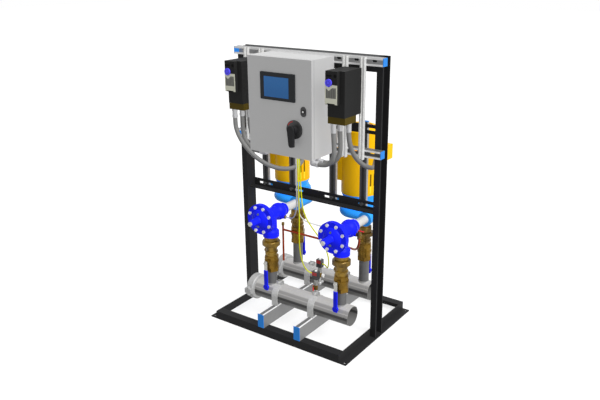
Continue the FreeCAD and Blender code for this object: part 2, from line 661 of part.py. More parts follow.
valves = []
fittings = []
levers = []
for x in NOZZLES:
    valves.append(ball_valve(x, "front_header_y", "front_base", "front_valve_height", "front_ball",
                             -1, "riser_pipe"))
    levers.append(lever(x, "front_header_y", "front_ball", -1))
    neck_base = "front_base + front_valve_height"
    ring_base = f"{neck_base} + front_neck"
    bush_base = f"{ring_base} + front_ring"
    fittings.append(neck(x, "front_header_y", neck_base, "front_neck"))
    fittings.append(union_ring(x, "front_header_y", ring_base, "front_ring"))
    fittings.append(bush(x, "front_header_y", bush_base, f"valve_bottom - ({bush_base})"))
    fittings.append(tube("nipple_pipe", "pipe_bore", "nozzle_y - valve_inlet_y + 2 * pipe_socket", x,
                         "valve_inlet_y - pipe_socket", "nozzle_height", "+y"))
for x in EYES:
    valves.append(ball_valve(x, "rear_header_y", "rear_base", "rear_valve_height", "rear_ball", 1,
                             "riser_pipe"))
    levers.append(lever(x, "rear_header_y", "rear_ball", 1))
    neck_base = "rear_base + rear_valve_height"
    ring_base = f"{neck_base} + rear_neck"
    bush_base = f"{ring_base} + rear_ring"
    tail_base = f"{bush_base} + rear_hex"
    fittings.append(neck(x, "rear_header_y", neck_base, "rear_neck"))
    fittings.append(union_ring(x, "rear_header_y", ring_base, "rear_ring"))
    fittings.append(bush(x, "rear_header_y", bush_base, "rear_hex"))
    fittings.append(tube("riser_pipe", "pipe_bore", f"suction_bottom - ({tail_base})", x,
                         "rear_header_y", tail_base))
node("ball_valve_bodies", *valves)
node("pipe_fittings", *fittings)
for name, piece in zip(("discharge_lever_1", "discharge_lever_2", "suction_lever_1",
                        "suction_lever_2"), levers):
    node(name, piece)


# Control valves

BOLT_ANGLES = [22.5 + 45 * step for step in range(8)]


def on_bolt_circle(x, angle):
    return (f"({x}) + bolt_circle / 2 * cos({angle})", f"nozzle_height + bolt_circle / 2 * sin({angle})")


def valve_body(x):
    """An angle globe body, inlet at the back, outlet down and a wide flange for the cover."""
    waist = "valve_waist / 2"
    reach = "valve_inlet_y - bonnet_y"
    barrel = turned([
        ("0", "0"), ("inlet_collar / 2", "0"), ("inlet_collar / 2", "20"),
        (f"{waist} - 6", "26"), (waist, "80"), (waist, "140"),
        (f"{waist} + 8", "156"), (f"{waist} + 34", "184"), ("valve_disc / 2", f"{reach} - 15"),
        ("valve_disc / 2", reach), ("0", reach),
    ], x, "valve_inlet_y", "nozzle_height", "-y")
    neck_length = "outlet_drop - collar_height"
    outside = fuse(
        barrel,
        ball("bulb_size", x, "valve_inlet_y - bulb_reach", "nozzle_height"),
        rod("valve_neck", neck_length, x, "front_header_y", "valve_bottom + collar_height"),
        taper("outlet_collar", "valve_neck", "12", x, "front_header_y",
              "valve_bottom + collar_height"),
        rod("outlet_collar", "collar_height", x, "front_header_y", "valve_bottom"),
        rod("port_boss", "port_reach - 6.05", x, "port_y", "port_level", "+x"),
        rod("port_boss", "port_reach - 6.05", x, "port_y", "port_level", "-x"))
    tools = [
        rod("pipe_bore", "seat_reach + 1", x, "valve_inlet_y + 1", "nozzle_height", "-y"),
        rod("guide_bore", f"{reach} - seat_reach + 1", x, "valve_inlet_y - seat_reach",
            "nozzle_height", "-y"),
        rod("nipple_pipe + 2 * pipe_clear", "pipe_socket + 1", x, "valve_inlet_y + 1",
            "nozzle_height", "-y"),
        rod("pipe_bore", "outlet_drop + 1", x, "front_header_y", "valve_bottom - 1")]
    for angle in BOLT_ANGLES:
        across, up = on_bolt_circle(x, angle)
        tools.append(rod("cover_bolt + cover_bolt_clear", "30", across, "bonnet_y + 25", up, "-y"))
    return cut(outside, *tools)


def valve_cover(x):
    """The diaphragm cover, domed, with the guide tube of the stem."""
    cover = turned([
        ("0", "0"), ("valve_disc / 2", "0"), ("valve_disc / 2", "valve_flange"),
        ("dome_size / 2", "valve_flange"), ("dome_size / 2 - 3", "valve_flange + 5"),
        ("dome_size / 2 - 14", "valve_flange + 11"), ("dome_size / 2 - 26", "valve_flange + dome_height"),
        ("stub_size / 2 + 3", "valve_flange + dome_height + 1"),
        ("stub_size / 2", "valve_flange + dome_height + 6"),
        ("stub_size / 2", "valve_flange + stub_length - 3"),
        ("stub_size / 2 - 3", "valve_flange + stub_length"), ("0", "valve_flange + stub_length"),
    ], x, "bonnet_y", "nozzle_height", "-y")
    tools = [rod("stem_size + 2 * running_fit", "stem_pocket + 1", x, "bonnet_y + 1",
                 "nozzle_height", "-y")]
    tools += [rod("plug_size + 0.4", "20", x, "cover_y - 10", f"nozzle_height + {side} * plug_offset",
                  "-y") for side in SIDES]
    for angle in BOLT_ANGLES:
        across, up = on_bolt_circle(x, angle)
        tools.append(rod("cover_bolt + cover_bolt_clear", "valve_flange + 2", across, "bonnet_y + 1",
                         up, "-y"))
    return cut(cover, *tools)


def cover_bolts(x):
    pieces = []
    for angle in BOLT_ANGLES:
        across, up = on_bolt_circle(x, angle)
        pieces.append(fuse(
            rod("cover_bolt", "2 * valve_flange + 3", across, "bonnet_y + valve_flange + 3", up, "-y"),
            hexagon("cover_bolt_head", "cover_head_height", across, "cover_y", up, "-y")))
    return pieces


def valve_stem(x):
    """The plunger that closes on the seat and the stem that guides it."""
    face = "valve_inlet_y - seat_reach - seat_gap"
    return fuse(rod("plunger_size", "plunger_thick", x, face, "nozzle_height", "-y"),
                rod("stem_size", "stem_length", x, face, "nozzle_height", "-y"))


def brass_trim(x):
    """The hexagon on the guide tube's end and the two plugs of the cover."""
    end = "cover_y - stub_length"
    plugs = [rod("plug_size", "8", x, "cover_y - 10", f"nozzle_height + {side} * plug_offset", "-y")
             for side in SIDES]
    return [hexagon("stub_nut", "10", x, end, "nozzle_height", "-y")] + plugs


node("control_valve_bodies", *[valve_body(x) for x in NOZZLES])
node("control_valve_covers", *[valve_cover(x) for x in NOZZLES])
node("cover_bolts", *[bolt for x in NOZZLES for bolt in cover_bolts(x)])
for number, x in enumerate(NOZZLES, start=1):
    node(f"control_valve_stem_{number}", valve_stem(x))


# Pumps

def spiral(x, inset):
    """The volute as round sections that grow along the spiral and end on the nozzle's axis."""
    first = Vector(size("volute_base"), size("volute_small") - inset, 0)
    last = Vector(size("nozzle_offset"), size("nozzle_size") / 2 - inset, 0)
    centre = Vector(size(x), size("pump_y"), size("nozzle_height"))
    tongue = 30
    sections = []
    steps = 15
    for step in range(steps + 1):
        share = step / steps
        angle = math.radians(-tongue - (360 - tongue) * share)
        reach, radius, _ = first + (last - first) * share
        outward = Vector(math.cos(angle), math.sin(angle), 0)
        along = Vector(-math.sin(angle), math.cos(angle), 0)
        sections.append(Part.Wire(Part.makeCircle(radius, centre + outward * reach, along)))
    feature = doc.addObject("Part::Feature", "Spiral")
    feature.Shape = Part.makeLoft(sections, True, False)
    return feature


def casing(x):
    nozzle_x = f"{x} + nozzle_offset"
    eye_x = f"{x} + suction_offset"
    chamber = "impeller_size + 4 * impeller_clear"
    outside = fuse(
        spiral(x, 0),
        rod("casing_drum", "casing_top - casing_bottom - 6", x, "pump_y", "casing_bottom"),
        rod("casing_flange", "flange_thick", x, "pump_y", "casing_top - flange_thick"),
        taper("casing_drum", "casing_flange - 20", "14", x, "pump_y",
              "casing_top - flange_thick - 14"),
        rod("nozzle_size", "nozzle_face", nozzle_x, "nozzle_y", "nozzle_height", "+y"),
        rod("nozzle_size + 10", "14", nozzle_x, "nozzle_y", "nozzle_height", "+y"),
        rod("suction_boss", "34", eye_x, "rear_header_y", "suction_bottom"))
    return cut(
        outside,
        spiral(x, size("volute_wall")),
        rod(chamber, "impeller_width + 2 * impeller_clear", x, "pump_y",
            "nozzle_height - impeller_width / 2 - impeller_clear"),
        rod("shaft_size + 2 * running_fit", "casing_top - nozzle_height + 1", x, "pump_y",
            "nozzle_height"),
        rod("pipe_bore", "nozzle_face", nozzle_x, "nozzle_y - 1", "nozzle_height", "+y"),
        rod("nipple_pipe + 2 * pipe_clear", "pipe_socket + 1", nozzle_x, "nozzle_y - 1",
            "nozzle_height", "+y"),
        rod("suction_bore", "nozzle_height - suction_bottom", eye_x, "rear_header_y",
            "suction_bottom - 1"))


def pump_plate(x):
    bracket = bar("YZ_Plane", [
        ("portal_back + post_deep", "0"), ("plate_back", "0"), ("plate_back", "plate_thick"),
        ("portal_back + post_deep + plate_thick", "plate_thick"),
        ("portal_back + post_deep + plate_thick", "plate_rise"),
        ("portal_back + post_deep", "plate_rise"),
    ], "plate_width", f"{x} - plate_width / 2", "0", "casing_top")
    return cut(bracket, rod("plate_hole", "plate_thick + 2", x, "pump_y", "casing_top - 1"),
               rod("adapter_size + 2 * plate_clear", "plate_rise", x, "pump_y", "adapter_bottom"))


def adapter(x):
    return turned([
        ("adapter_bore / 2", "0"), ("adapter_size / 2", "0"), ("adapter_size / 2", "adapter_rim"),
        ("adapter_waist / 2", "adapter_rim + 3"), ("adapter_waist / 2", "adapter_height - adapter_rim - 3"),
        ("adapter_size / 2", "adapter_height - adapter_rim"), ("adapter_size / 2", "adapter_height"),
        ("adapter_bore / 2", "adapter_height"),
    ], x, "pump_y", "adapter_bottom")


def motor_frame(x):
    shaft_hole = "shaft_size + 2 * running_fit"
    return cut(
        fuse(rod("motor_size", "motor_height - 10", x, "pump_y", "motor_bottom"),
             rod("motor_neck", "motor_height", x, "pump_y", "motor_bottom")),
        rod("motor_size - 2 * motor_wall", "motor_height - 2 * end_shield", x, "pump_y",
            "motor_bottom + end_shield"),
        rod(shaft_hole, "motor_height + 2", x, "pump_y", "motor_bottom - 1"))


def stator(x):
    outer = "motor_size - 2 * motor_wall"
    return tube(outer, f"{outer} - 2 * stator_wall", "stator_height", x, "pump_y",
                "motor_bottom + stator_bottom")


def fan_cowl(x):
    outer = "cowl_size / 2"
    inner = "cowl_size / 2 - cowl_wall"
    shell = turned([
        (inner, "0"), (outer, "0"), (outer, "cowl_height - cowl_round"),
        (f"{outer} - cowl_round * 0.3", "cowl_height - cowl_round * 0.3"),
        (f"{outer} - cowl_round", "cowl_height"), ("intake_size / 2", "cowl_height"),
        ("intake_size / 2", "cowl_height - cowl_wall"), (f"{inner} - cowl_round", "cowl_height - cowl_wall"),
        (f"{inner} - cowl_round * 0.3", "cowl_height - cowl_round * 0.3 - cowl_wall"),
        (inner, "cowl_height - cowl_round - 1"),
    ], x, "pump_y", "motor_top")
    level = "motor_top + cowl_height - cowl_wall"
    rings = [tube(f"intake_size * {share} + 6", f"intake_size * {share}", "cowl_wall", x, "pump_y",
                  level) for share in (0.2, 0.5, 0.8)]
    bars = [box(f"{x} - intake_size / 2 - 1", "pump_y - 3", level, "intake_size + 2", "6", "cowl_wall"),
            box(f"{x} - 3", "pump_y - intake_size / 2 - 1", level, "6", "intake_size + 2", "cowl_wall")]
    foot = tube("cowl_size - 1", "motor_neck", "6", x, "pump_y", "motor_top - 6")
    return fuse(shell, foot, *rings, *bars)


def motor_boxes(x):
    """The long side box and the terminal box, both shaped to the motor's round side."""
    round_side = rod("motor_size", "motor_height - 10", x, "pump_y", "motor_bottom")
    left = box(f"{x} - left_box_reach", "pump_y + left_box_y", "left_box_bottom",
               "left_box_reach - left_box_root", "left_box_width", "left_box_height")
    right = box(f"{x} + right_box_root", "pump_y + right_box_y", "right_box_bottom",
                "right_box_reach - right_box_root", "right_box_width", "right_box_height")
    again = rod("motor_size", "motor_height + 30", x, "pump_y", "motor_bottom")
    return cut(left, round_side), cut(right, again)


def rotor(x):
    """Impeller, shaft, rotor core and cooling fan in one piece."""
    bottom = "nozzle_height - impeller_width / 2"
    core = "motor_size - 2 * motor_wall - 2 * stator_wall - 2 * air_gap"
    fan_base = "motor_top + fan_level"
    blades = []
    for turn in range(4):
        blade = box("0", "0", fan_base, "fan_size", "blade_thick", "fan_height")
        angle = 45 * turn
        place(blade, f"{x} - fan_size / 2 * cos({angle}) + blade_thick / 2 * sin({angle})",
              f"pump_y - fan_size / 2 * sin({angle}) - blade_thick / 2 * cos({angle})", fan_base,
              Rotation(Vector(0, 0, 1), angle))
        blades.append(blade)
    return fuse(
        rod("impeller_size", "impeller_width", x, "pump_y", bottom),
        rod("shaft_size", f"{fan_base} + fan_height + 8 - ({bottom})", x, "pump_y", bottom),
        rod(core, "stator_height", x, "pump_y", "motor_bottom + stator_bottom"),
        rod("fan_hub", "fan_height", x, "pump_y", fan_base),
        rod("fan_size", "3", x, "pump_y", fan_base),
        *blades)


node("pump_casings", *[casing(x) for x in PUMPS])
node("pump_plates", *[pump_plate(x) for x in PUMPS])
node("motor_adapters", *[adapter(x) for x in PUMPS])
node("motor_frames", *[piece for x in PUMPS for piece in (motor_frame(x), stator(x))])
node("fan_cowls", *[fan_cowl(x) for x in PUMPS])
node("motor_boxes", *[piece for x in PUMPS for piece in motor_boxes(x)])
for number, x in enumerate(PUMPS, start=1):
    node(f"pump_rotor_{number}", rotor(x))


# Control panel

def hinge_half(level, lower):
    """One knuckle with its leaf. The upper one carries the pin and turns with the door."""
    knuckle = rod("hinge_size", "hinge_length", "hinge_x", "hinge_y", level)
    if lower:
        leaf = box("panel_left - 2", "body_front", level, "2", "22", "hinge_length")
        web = box("hinge_x + 2", "hinge_y", level, "hinge_out - 2.5", "6", "hinge_length")
        return cut(fuse(knuckle, leaf, web),
                   rod("hinge_pin + 2 * running_fit", "hinge_length + 2", "hinge_x", "hinge_y",
                       f"{level} - 1"))
    leaf = box("panel_left - 2", "panel_front + 2", level, "2", "door_depth - 2", "hinge_length")
    web = box("hinge_x + 2", "hinge_y - 6", level, "hinge_out - 2.5", "6", "hinge_length")
    pin = rod("hinge_pin", "hinge_length + 12", "hinge_x", "hinge_y", f"{level} - 12")
    return fuse(knuckle, leaf, web, pin)


def enclosure_body():
    deep = "strut_front - body_front"
    outer = box("panel_left", "body_front", "panel_bottom", "panel_width", deep, "panel_height")
    inner = box("panel_left + sheet_wall", "body_front + sheet_wall", "panel_bottom + sheet_wall",
                "panel_width - 2 * sheet_wall", f"{deep} - 2 * sheet_wall",
                "panel_height - 2 * sheet_wall")
    opening = box("panel_left + panel_lip", "body_front - 1", "panel_bottom + panel_lip",
                  "panel_width - 2 * panel_lip", "sheet_wall + 2", "panel_height - 2 * panel_lip")
    knuckles = [hinge_half(f"panel_bottom + {rise}", True) for rise in ("hinge_low", "hinge_high")]
    return cut(outer, inner, opening), knuckles


def enclosure_door():
    outer = box("panel_left", "panel_front", "panel_bottom", "panel_width", "door_depth",
                "panel_height")
    inner = box("panel_left + sheet_wall", "panel_front + sheet_wall", "panel_bottom + sheet_wall",
                "panel_width - 2 * sheet_wall", "door_depth", "panel_height - 2 * sheet_wall")
    window = box("-screen_width / 2 + 12", "panel_front - 1",
                 "screen_level - screen_height / 2 + 12", "screen_width - 24", "sheet_wall + 2",
                 "screen_height - 24")
    switch = rod("switch_spindle + 2 * running_fit", "40", "switch_x", "panel_front + 20",
                 "switch_level", "-y")
    plug = rod("lock_plug + 2 * running_fit", "40", "lock_x", "panel_front + 20", "lock_level", "-y")
    base = rod("switch_size", "switch_proud", "switch_x", "panel_front", "switch_level", "-y")
    lock_low = rod("lock_width", "lock_proud", "lock_x", "panel_front",
                   "lock_level - (lock_height - lock_width) / 2", "-y")
    lock_high = rod("lock_width", "lock_proud", "lock_x", "panel_front",
                    "lock_level + (lock_height - lock_width) / 2", "-y")
    lock_middle = box("lock_x - lock_width / 2", "panel_front - lock_proud",
                      "lock_level - (lock_height - lock_width) / 2", "lock_width", "lock_proud",
                      "lock_height - lock_width")
    shell = cut(outer, inner, window, switch, plug)
    knuckles = [hinge_half(f"panel_bottom + {rise} + hinge_length + hinge_play", False)
                for rise in ("hinge_low", "hinge_high")]
    return (fuse(shell, *knuckles), cut(base, switch), cut(fuse(lock_low, lock_high, lock_middle), plug))


def touch_screen():
    left = "-screen_width / 2"
    bottom = "screen_level - screen_height / 2"
    bezel = rounded(box(left, "panel_front - screen_proud", bottom, "screen_width", "screen_proud",
                        "screen_height"), "5", 2, 4, 6, 8)
    sunk = box("window_shift - window_width / 2", "panel_front - screen_proud - 1",
               "screen_level - window_height / 2 - 3", "window_width", "window_sunk + 1",
               "window_height")
    back = box(f"{left} + 12.3", "panel_front", f"{bottom} + 12.3", "screen_width - 24.6",
               "screen_deep", "screen_height - 24.6")
    return cut(fuse(bezel, back), sunk)


def door_lock():
    plug = rod("lock_plug", "lock_proud + 14", "lock_x", "panel_front + 11", "lock_level", "-y")
    collar = rod("lock_plug + 4", "3", "lock_x", "panel_front - lock_proud - 0.3", "lock_level", "-y")
    key_slot = box("lock_x - 1.5", "panel_front - lock_proud - 4", "lock_level - 6", "3", "3", "12")
    cam = box("lock_x - lock_cam_length", "panel_front + 8", "lock_level - 7",
              "lock_cam_length + 7", "3", "14")
    return cut(fuse(plug, collar, cam), key_slot)


def disconnect_handle():
    front = "panel_front - switch_proud - 0.3"
    hub = rod("switch_hub", "switch_hub_height", "switch_x", front, "switch_level", "-y")
    spindle = rod("switch_spindle", "switch_proud + 20", "switch_x", "panel_front + 15",
                  "switch_level", "-y")
    grip = rounded(box("switch_x - switch_lever_width / 2",
                       f"{front} - switch_hub_height - 12", "switch_level - switch_lever",
                       "switch_lever_width", "switch_hub_height + 6", "switch_lever + 18"),
                   "6", 1, 3, 5, 7, 2, 6)
    return fuse(hub, spindle, grip)


def panel_equipment():
    """Mounting plate, rails and the gear on them, reached by opening the door."""
    back = "strut_front - sheet_wall - 14"
    plate = box("panel_middle - 180", back, "panel_bottom + 20", "360", "3", "468")
    stand_offs = [rod("14", "14 - 3", f"panel_middle + {side} * 165", f"{back} + 3",
                      f"panel_bottom + {rise}", "+y") for side in SIDES for rise in (40, 468)]
    gear = []
    for level, items in ((380, (50, 22, 22, 22, 70)), (270, (100, 60, 60)), (130, (45, 45, 45, 90))):
        gear.append(box("panel_middle - 165", f"{back} - 8", f"panel_bottom + {level}", "330", "8", "35"))
        left = -160
        for width in items:
            gear.append(box(f"panel_middle + ({left})", f"{back} - 70", f"panel_bottom + {level} - 25",
                            width, "62", "86"))
            left += width + 3
    return [fuse(plate, *stand_offs, *gear)]


body, fixed_knuckles = enclosure_body()
node("enclosure_body", fuse(body, *fixed_knuckles))
node("enclosure_door", *enclosure_door())
node("touch_screen", touch_screen())
node("door_lock", door_lock())
node("disconnect_handle", disconnect_handle())
node("panel_equipment", *panel_equipment())


# Drives

def drive_body(x):
    return rounded(box(f"{x} - drive_width / 2", "drive_front", "drive_level", "drive_width",
                       "drive_depth", "drive_height"), "4", 1, 3)


def keypad(x):
    """The raised column on the drive's front, with the hole of the dial's spindle."""
    left = f"{x} - drive_width / 2"
    top = "drive_level + drive_height"
    column = rounded(box(left, "keypad_front", f"{top} - keypad_drop", "keypad_width", "keypad_proud",
                         "keypad_drop"), "3", 1, 5)
    bore = rod("dial_spindle + 2 * running_fit", "12", f"{left} + dial_x", "keypad_front + 11",
               f"{top} - dial_drop", "-y")
    return cut(column, bore)


def dial(x):
    left = f"{x} - drive_width / 2 + dial_x"
    level = "drive_level + drive_height - dial_drop"
    return fuse(rod("dial_size", "dial_thick", left, "keypad_front - 0.3", level, "-y"),
                rod("dial_spindle", "10", left, "keypad_front + 9.7", level, "-y"),
                box(f"{left} - 1.5", "keypad_front - 0.3 - dial_thick - 1.2", f"{level} + 2", "3", "2",
                    "dial_size / 2 - 4"))


def gland_box(x):
    return box(f"{x} - drive_width / 2", "drive_front + gland_box_lip", "gland_level", "drive_width",
               "gland_box_depth", "gland_box_height")


def drive_glands(x):
    left = f"{x} - drive_width / 2"
    front = "drive_front + gland_box_lip"
    spots = ((f"{left} + gland_near", f"{front} + gland_front"),
             (f"{left} + gland_near", f"{front} + gland_rear"),
             (f"{left} + gland_far", f"{front} + gland_rear"))
    return [fuse(hexagon("gland_nut", "10", across, y, "gland_level", "-z"),
                 rod("gland_barrel", "gland_drop", across, y, "gland_level", "-z"),
                 hexagon("gland_nut - 2", "12", across, y, "gland_level - gland_drop + 15", "-z"))
            for across, y in spots]


def elbow(x, y, side):
    """A right-angle cord grip below the panel."""
    turn = "-x" if side < 0 else "+x"
    return fuse(
        hexagon("gland_nut", "7", x, y, "panel_bottom", "-z"),
        rod("gland_barrel", "elbow_drop", x, y, "panel_bottom", "-z"),
        ball("gland_barrel", x, y, "elbow_level"),
        rod("gland_barrel", "elbow_reach", x, y, "elbow_level", turn),
        hexagon("gland_nut", "12", f"{x} + {side} * (elbow_reach - 14)", y, "elbow_level", turn))


def motor_gland(x):
    across = f"{x} + right_box_middle"
    face = "pump_y + right_box_y"
    return fuse(hexagon("gland_nut", "8", across, face, "motor_gland_level", "-y"),
                rod("gland_barrel", "motor_gland", across, face, "motor_gland_level", "-y"))


node("drive_bodies", *[drive_body(x) for x in DRIVES.values()])
node("drive_keypads", *[keypad(x) for x in DRIVES.values()])
node("drive_gland_boxes", *[gland_box(x) for x in DRIVES.values()])
for side, x in DRIVES.items():
    node(f"drive_dial_{side}", dial(x))
node("cable_glands",
     *[piece for x in DRIVES.values() for piece in drive_glands(x)],
     elbow("elbow_right", "-240", 1), elbow("elbow_right", "-190", 1),
     elbow("elbow_left", "-200", -1), elbow("elbow_left", "-130", -1),
     *[motor_gland(x) for x in PUMPS],
     fuse(hexagon("40", "6", "87", "-236", "panel_bottom", "-z"),
          rod("34", "13", "87", "-236", "panel_bottom", "-z")))


# Gauges, small cocks and the copper line

def cock_body(x, y, bottom, turn):
    """A quarter-turn gauge cock with its stem's boss to one side."""
    middle = f"{bottom} + cock_height / 2"
    return cut(
        fuse(hexagon("cock_size + 3", "8", x, y, bottom),
             rod("cock_size", "cock_height", x, y, bottom),
             rod("cock_boss", "cock_boss_reach", x, y, middle, turn)),
        rod("cock_stem + 2 * running_fit", "cock_boss_reach + 1", x, y, middle, turn))


def gauge_tap(x, y, header_y):
    """The side outlet of a header, turned up to the gauge."""
    side = 1 if size(y) > size(header_y) else -1
    turn = "-y" if side > 0 else "+y"
    root = f"{y} - ({header_y})"
    start = f"{header_y} + {side} * header_size / 2"
    length = f"abs({root}) - header_size / 2"
    turned_in = "+y" if side > 0 else "-y"
    return fuse(rod("gauge_pipe", length, x, start, "header_level", turned_in),
                ball("gauge_pipe + 6", x, y, "header_level"),
                rod("gauge_pipe", "gauge_cock_rise", x, y, "header_level"))


def transducer(x, y):
    base = "header_level + gauge_cock_rise + cock_height"
    head = f"{base} + gauge_hex_height + gauge_body_height"
    return fuse(
        hexagon("gauge_hex", "gauge_hex_height", x, y, base),
        rod("gauge_body", "gauge_body_height", x, y, f"{base} + gauge_hex_height"),
        rounded(box(f"{x} - head_width / 2", f"{y} - head_depth / 2", head, "head_width", "head_depth",
                    "head_height"), "5", 1, 3, 5, 7))


def port_fitting(x, side):
    turn = "-x" if side < 0 else "+x"
    return hexagon("22", "6", f"{x} + {side} * (port_reach - 6)", "port_y", "port_level", turn)


GAUGES = (("gauge_x_front", "gauge_y_front", "front_header_y"),
          ("gauge_x_rear", "gauge_y_rear", "rear_header_y"))
COCK_LEVEL = "header_level + gauge_cock_rise"
PILOT_X = f"{NOZZLES[1]} + port_reach + cock_size / 2"
PILOT_BOTTOM = "port_level - cock_height / 2"

node("pressure_transducers", *[transducer(x, y) for x, y, _ in GAUGES])
node("instrument_fittings",
     *[gauge_tap(x, y, header_y) for x, y, header_y in GAUGES],
     cock_body("gauge_x_front", "gauge_y_front", COCK_LEVEL, "-x"),
     cock_body("gauge_x_rear", "gauge_y_rear", COCK_LEVEL, "+x"),
     *[port_fitting(x, side) for x in NOZZLES for side in SIDES],
     cut(fuse(rod("cock_size", "cock_height", PILOT_X, "port_y", PILOT_BOTTOM),
              rod("cock_boss", "8", PILOT_X, "port_y", f"{PILOT_BOTTOM} + cock_height")),
         rod("cock_stem + 2 * running_fit", "cock_height / 2 + 9", PILOT_X, "port_y", "port_level")),
     fuse(hexagon("20", "16", "copper_x", "copper_y", "copper_top"),
          rod("14", "22", "copper_x", "copper_y", "copper_top - 4")),
     *[piece for x in NOZZLES for piece in brass_trim(x)])


def cock_lever(x, side):
    """A small flat lever on its stem, hanging beside the cock."""
    y = "gauge_y_front"
    middle = f"{COCK_LEVEL} + cock_height / 2"
    stem = rod("cock_stem", "cock_boss_reach - 4 + cock_lever_thick", f"{x} + {side} * 5", y, middle,
               "-x" if side < 0 else "+x")
    low = f"{x} + {side} * (cock_boss_reach + 0.5 + cock_lever_thick / 2) - cock_lever_thick / 2"
    strap = box(low, f"{y} - cock_lever_width / 2", f"{middle} - cock_lever", "cock_lever_thick",
                "cock_lever_width", "cock_lever + cock_lever_width / 2")
    return fuse(stem, strap)


def cock_knob():
    middle = f"{COCK_LEVEL} + cock_height / 2"
    stem = rod("cock_stem", "cock_boss_reach + 4", "gauge_x_rear + 5", "gauge_y_rear", middle, "+x")
    knob = cut(rod("22", "12", "gauge_x_rear + cock_boss_reach + 0.5", "gauge_y_rear", middle, "+x"),
               box("gauge_x_rear + cock_boss_reach + 9", "gauge_y_rear + 2", f"{middle} - 12", "5", "10",
                   "24"),
               box("gauge_x_rear + cock_boss_reach + 9", "gauge_y_rear - 12", f"{middle} - 12", "5", "10",
                   "24"))
    return fuse(stem, knob)


def pilot_lever():
    top = f"{PILOT_BOTTOM} + cock_height + 8"
    stem = rod("cock_stem", f"{top} + 3 - port_level - 2", PILOT_X, "port_y", "port_level + 2")
    strap = box(f"{PILOT_X} - cock_lever_width / 2", "port_y - cock_lever_width / 2", f"{top} + 0.5",
                "cock_lever", "cock_lever_width", "cock_lever_thick")
    return fuse(stem, strap)


node("gauge_cock_lever", cock_lever("gauge_x_front", -1))
node("gauge_cock_knob", cock_knob())
node("pilot_cock_lever", pilot_lever())


# Bent lines: straight runs joined by tangent arcs

def bent_line(name, diameter, route):
    """Sweeps a round section along the route and checks its volume against its length."""
    points = [Vector(*[size(value) for value in point]) for point in route]
    edges = []
    radii = []
    length = 0
    last = points[0]
    for before, here, after in zip(points, points[1:], points[2:]):
        into = (here - before).normalize()
        out = (after - here).normalize()
        half_turn = into.getAngle(out) / 2
        reach = 0.45 * min(here.distanceToPoint(before), here.distanceToPoint(after))
        radius = reach / math.tan(half_turn)
        start = here - into * reach
        end = here + out * reach
        crown = here + (out - into).normalize() * radius * (1 / math.cos(half_turn) - 1)
        edges.append(Part.LineSegment(last, start).toShape())
        edges.append(Part.Arc(start, crown, end).toShape())
        length += last.distanceToPoint(start) + radius * 2 * half_turn
        radii.append(radius)
        last = end
    edges.append(Part.LineSegment(last, points[-1]).toShape())
    length += last.distanceToPoint(points[-1])
    across = size(diameter)
    section = Part.Wire(Part.makeCircle(across / 2, points[0], points[1] - points[0]))
    swept = Part.Wire(edges).makePipeShell([section], True, True)
    ratio = swept.Volume / (math.pi * across ** 2 / 4 * length)
    runs = [a.distanceToPoint(b) for a, b in zip(points, points[1:])]
    print(f"{name}: length {length:.0f}, runs {min(runs):.0f} to {max(runs):.0f}, "
          f"radii {min(radii):.0f} to {max(radii):.0f}, volume ratio {ratio:.4f}")
    feature = doc.addObject("Part::Feature", "Line")
    feature.Shape = swept
    return feature


def drive_gland_run(axis, across, along):
    """The straight start of a conduit below a drive's gland."""
    x = f"{axis} - drive_width / 2 + {across}"
    y = f"drive_front + gland_box_lip + {along}"
    return (x, y, "gland_end"), (x, y, "gland_end - 12")


RIGHT_NUT = "elbow_right + elbow_reach"
LEFT_NUT = "elbow_left - elbow_reach"
MOTOR_SPOTS = [(f"{axis} + right_box_middle", "pump_y + right_box_y - motor_gland",
                "motor_gland_level") for axis in PUMPS]

CONDUITS = {
    "right_power_conduit": [
        *drive_gland_run("drive_right", "gland_near", "gland_front"),
        (315, -236, 1160), (318, -238, 1103), (297, -239, 1065), (261, -240, "elbow_level"),
        (RIGHT_NUT, -240, "elbow_level")],
    "right_signal_conduit": [
        *drive_gland_run("drive_right", "gland_near", "gland_rear"),
        (315, -177, 1161), (317, -181, 1104), (296, -187, 1065), (261, -190, "elbow_level"),
        (RIGHT_NUT, -190, "elbow_level")],
    "right_motor_conduit": [
        *drive_gland_run("drive_right", "gland_far", "gland_rear"),
        (365, -170, 1163), (374, -151, 1107), (387, -117, 1060), (398, -71, 1025), (402, -16, 1001),
        (393, 38, 988), (373, 84, 996), (MOTOR_SPOTS[1][0], 124, "motor_gland_level"),
        MOTOR_SPOTS[1]],
    "left_motor_conduit": [
        *drive_gland_run("drive_left", "gland_near", "gland_front"),
        (-336, -237, 1165), (-304, -241, 1109), (-261, -231, 1051), (-210, -207, 998),
        (-158, -176, 962), (-110, -142, 943), (-72, -103, 938), (-50, -58, 946), (-55, -4, 958),
        (-84, 42, 976), (-112, 80, 996), (MOTOR_SPOTS[0][0], 123, "motor_gland_level"),
        MOTOR_SPOTS[0]],
    "left_power_conduit": [
        *drive_gland_run("drive_left", "gland_near", "gland_rear"),
        (-339, -176, 1160), (-328, -180, 1104), (-292, -188, 1066), (-243, -200, "elbow_level"),
        (LEFT_NUT, -200, "elbow_level")],
    "left_signal_conduit": [
        *drive_gland_run("drive_left", "gland_far", "gland_rear"),
        (-288, -172, 1165), (-284, -160, 1113), (-266, -144, 1071), (-232, -130, "elbow_level"),
        (LEFT_NUT, -130, "elbow_level")],
}

HEAD_LEVEL = "header_level + gauge_cock_rise + cock_height + gauge_hex_height + gauge_body_height"
CABLE_TOP = "panel_bottom - 13"

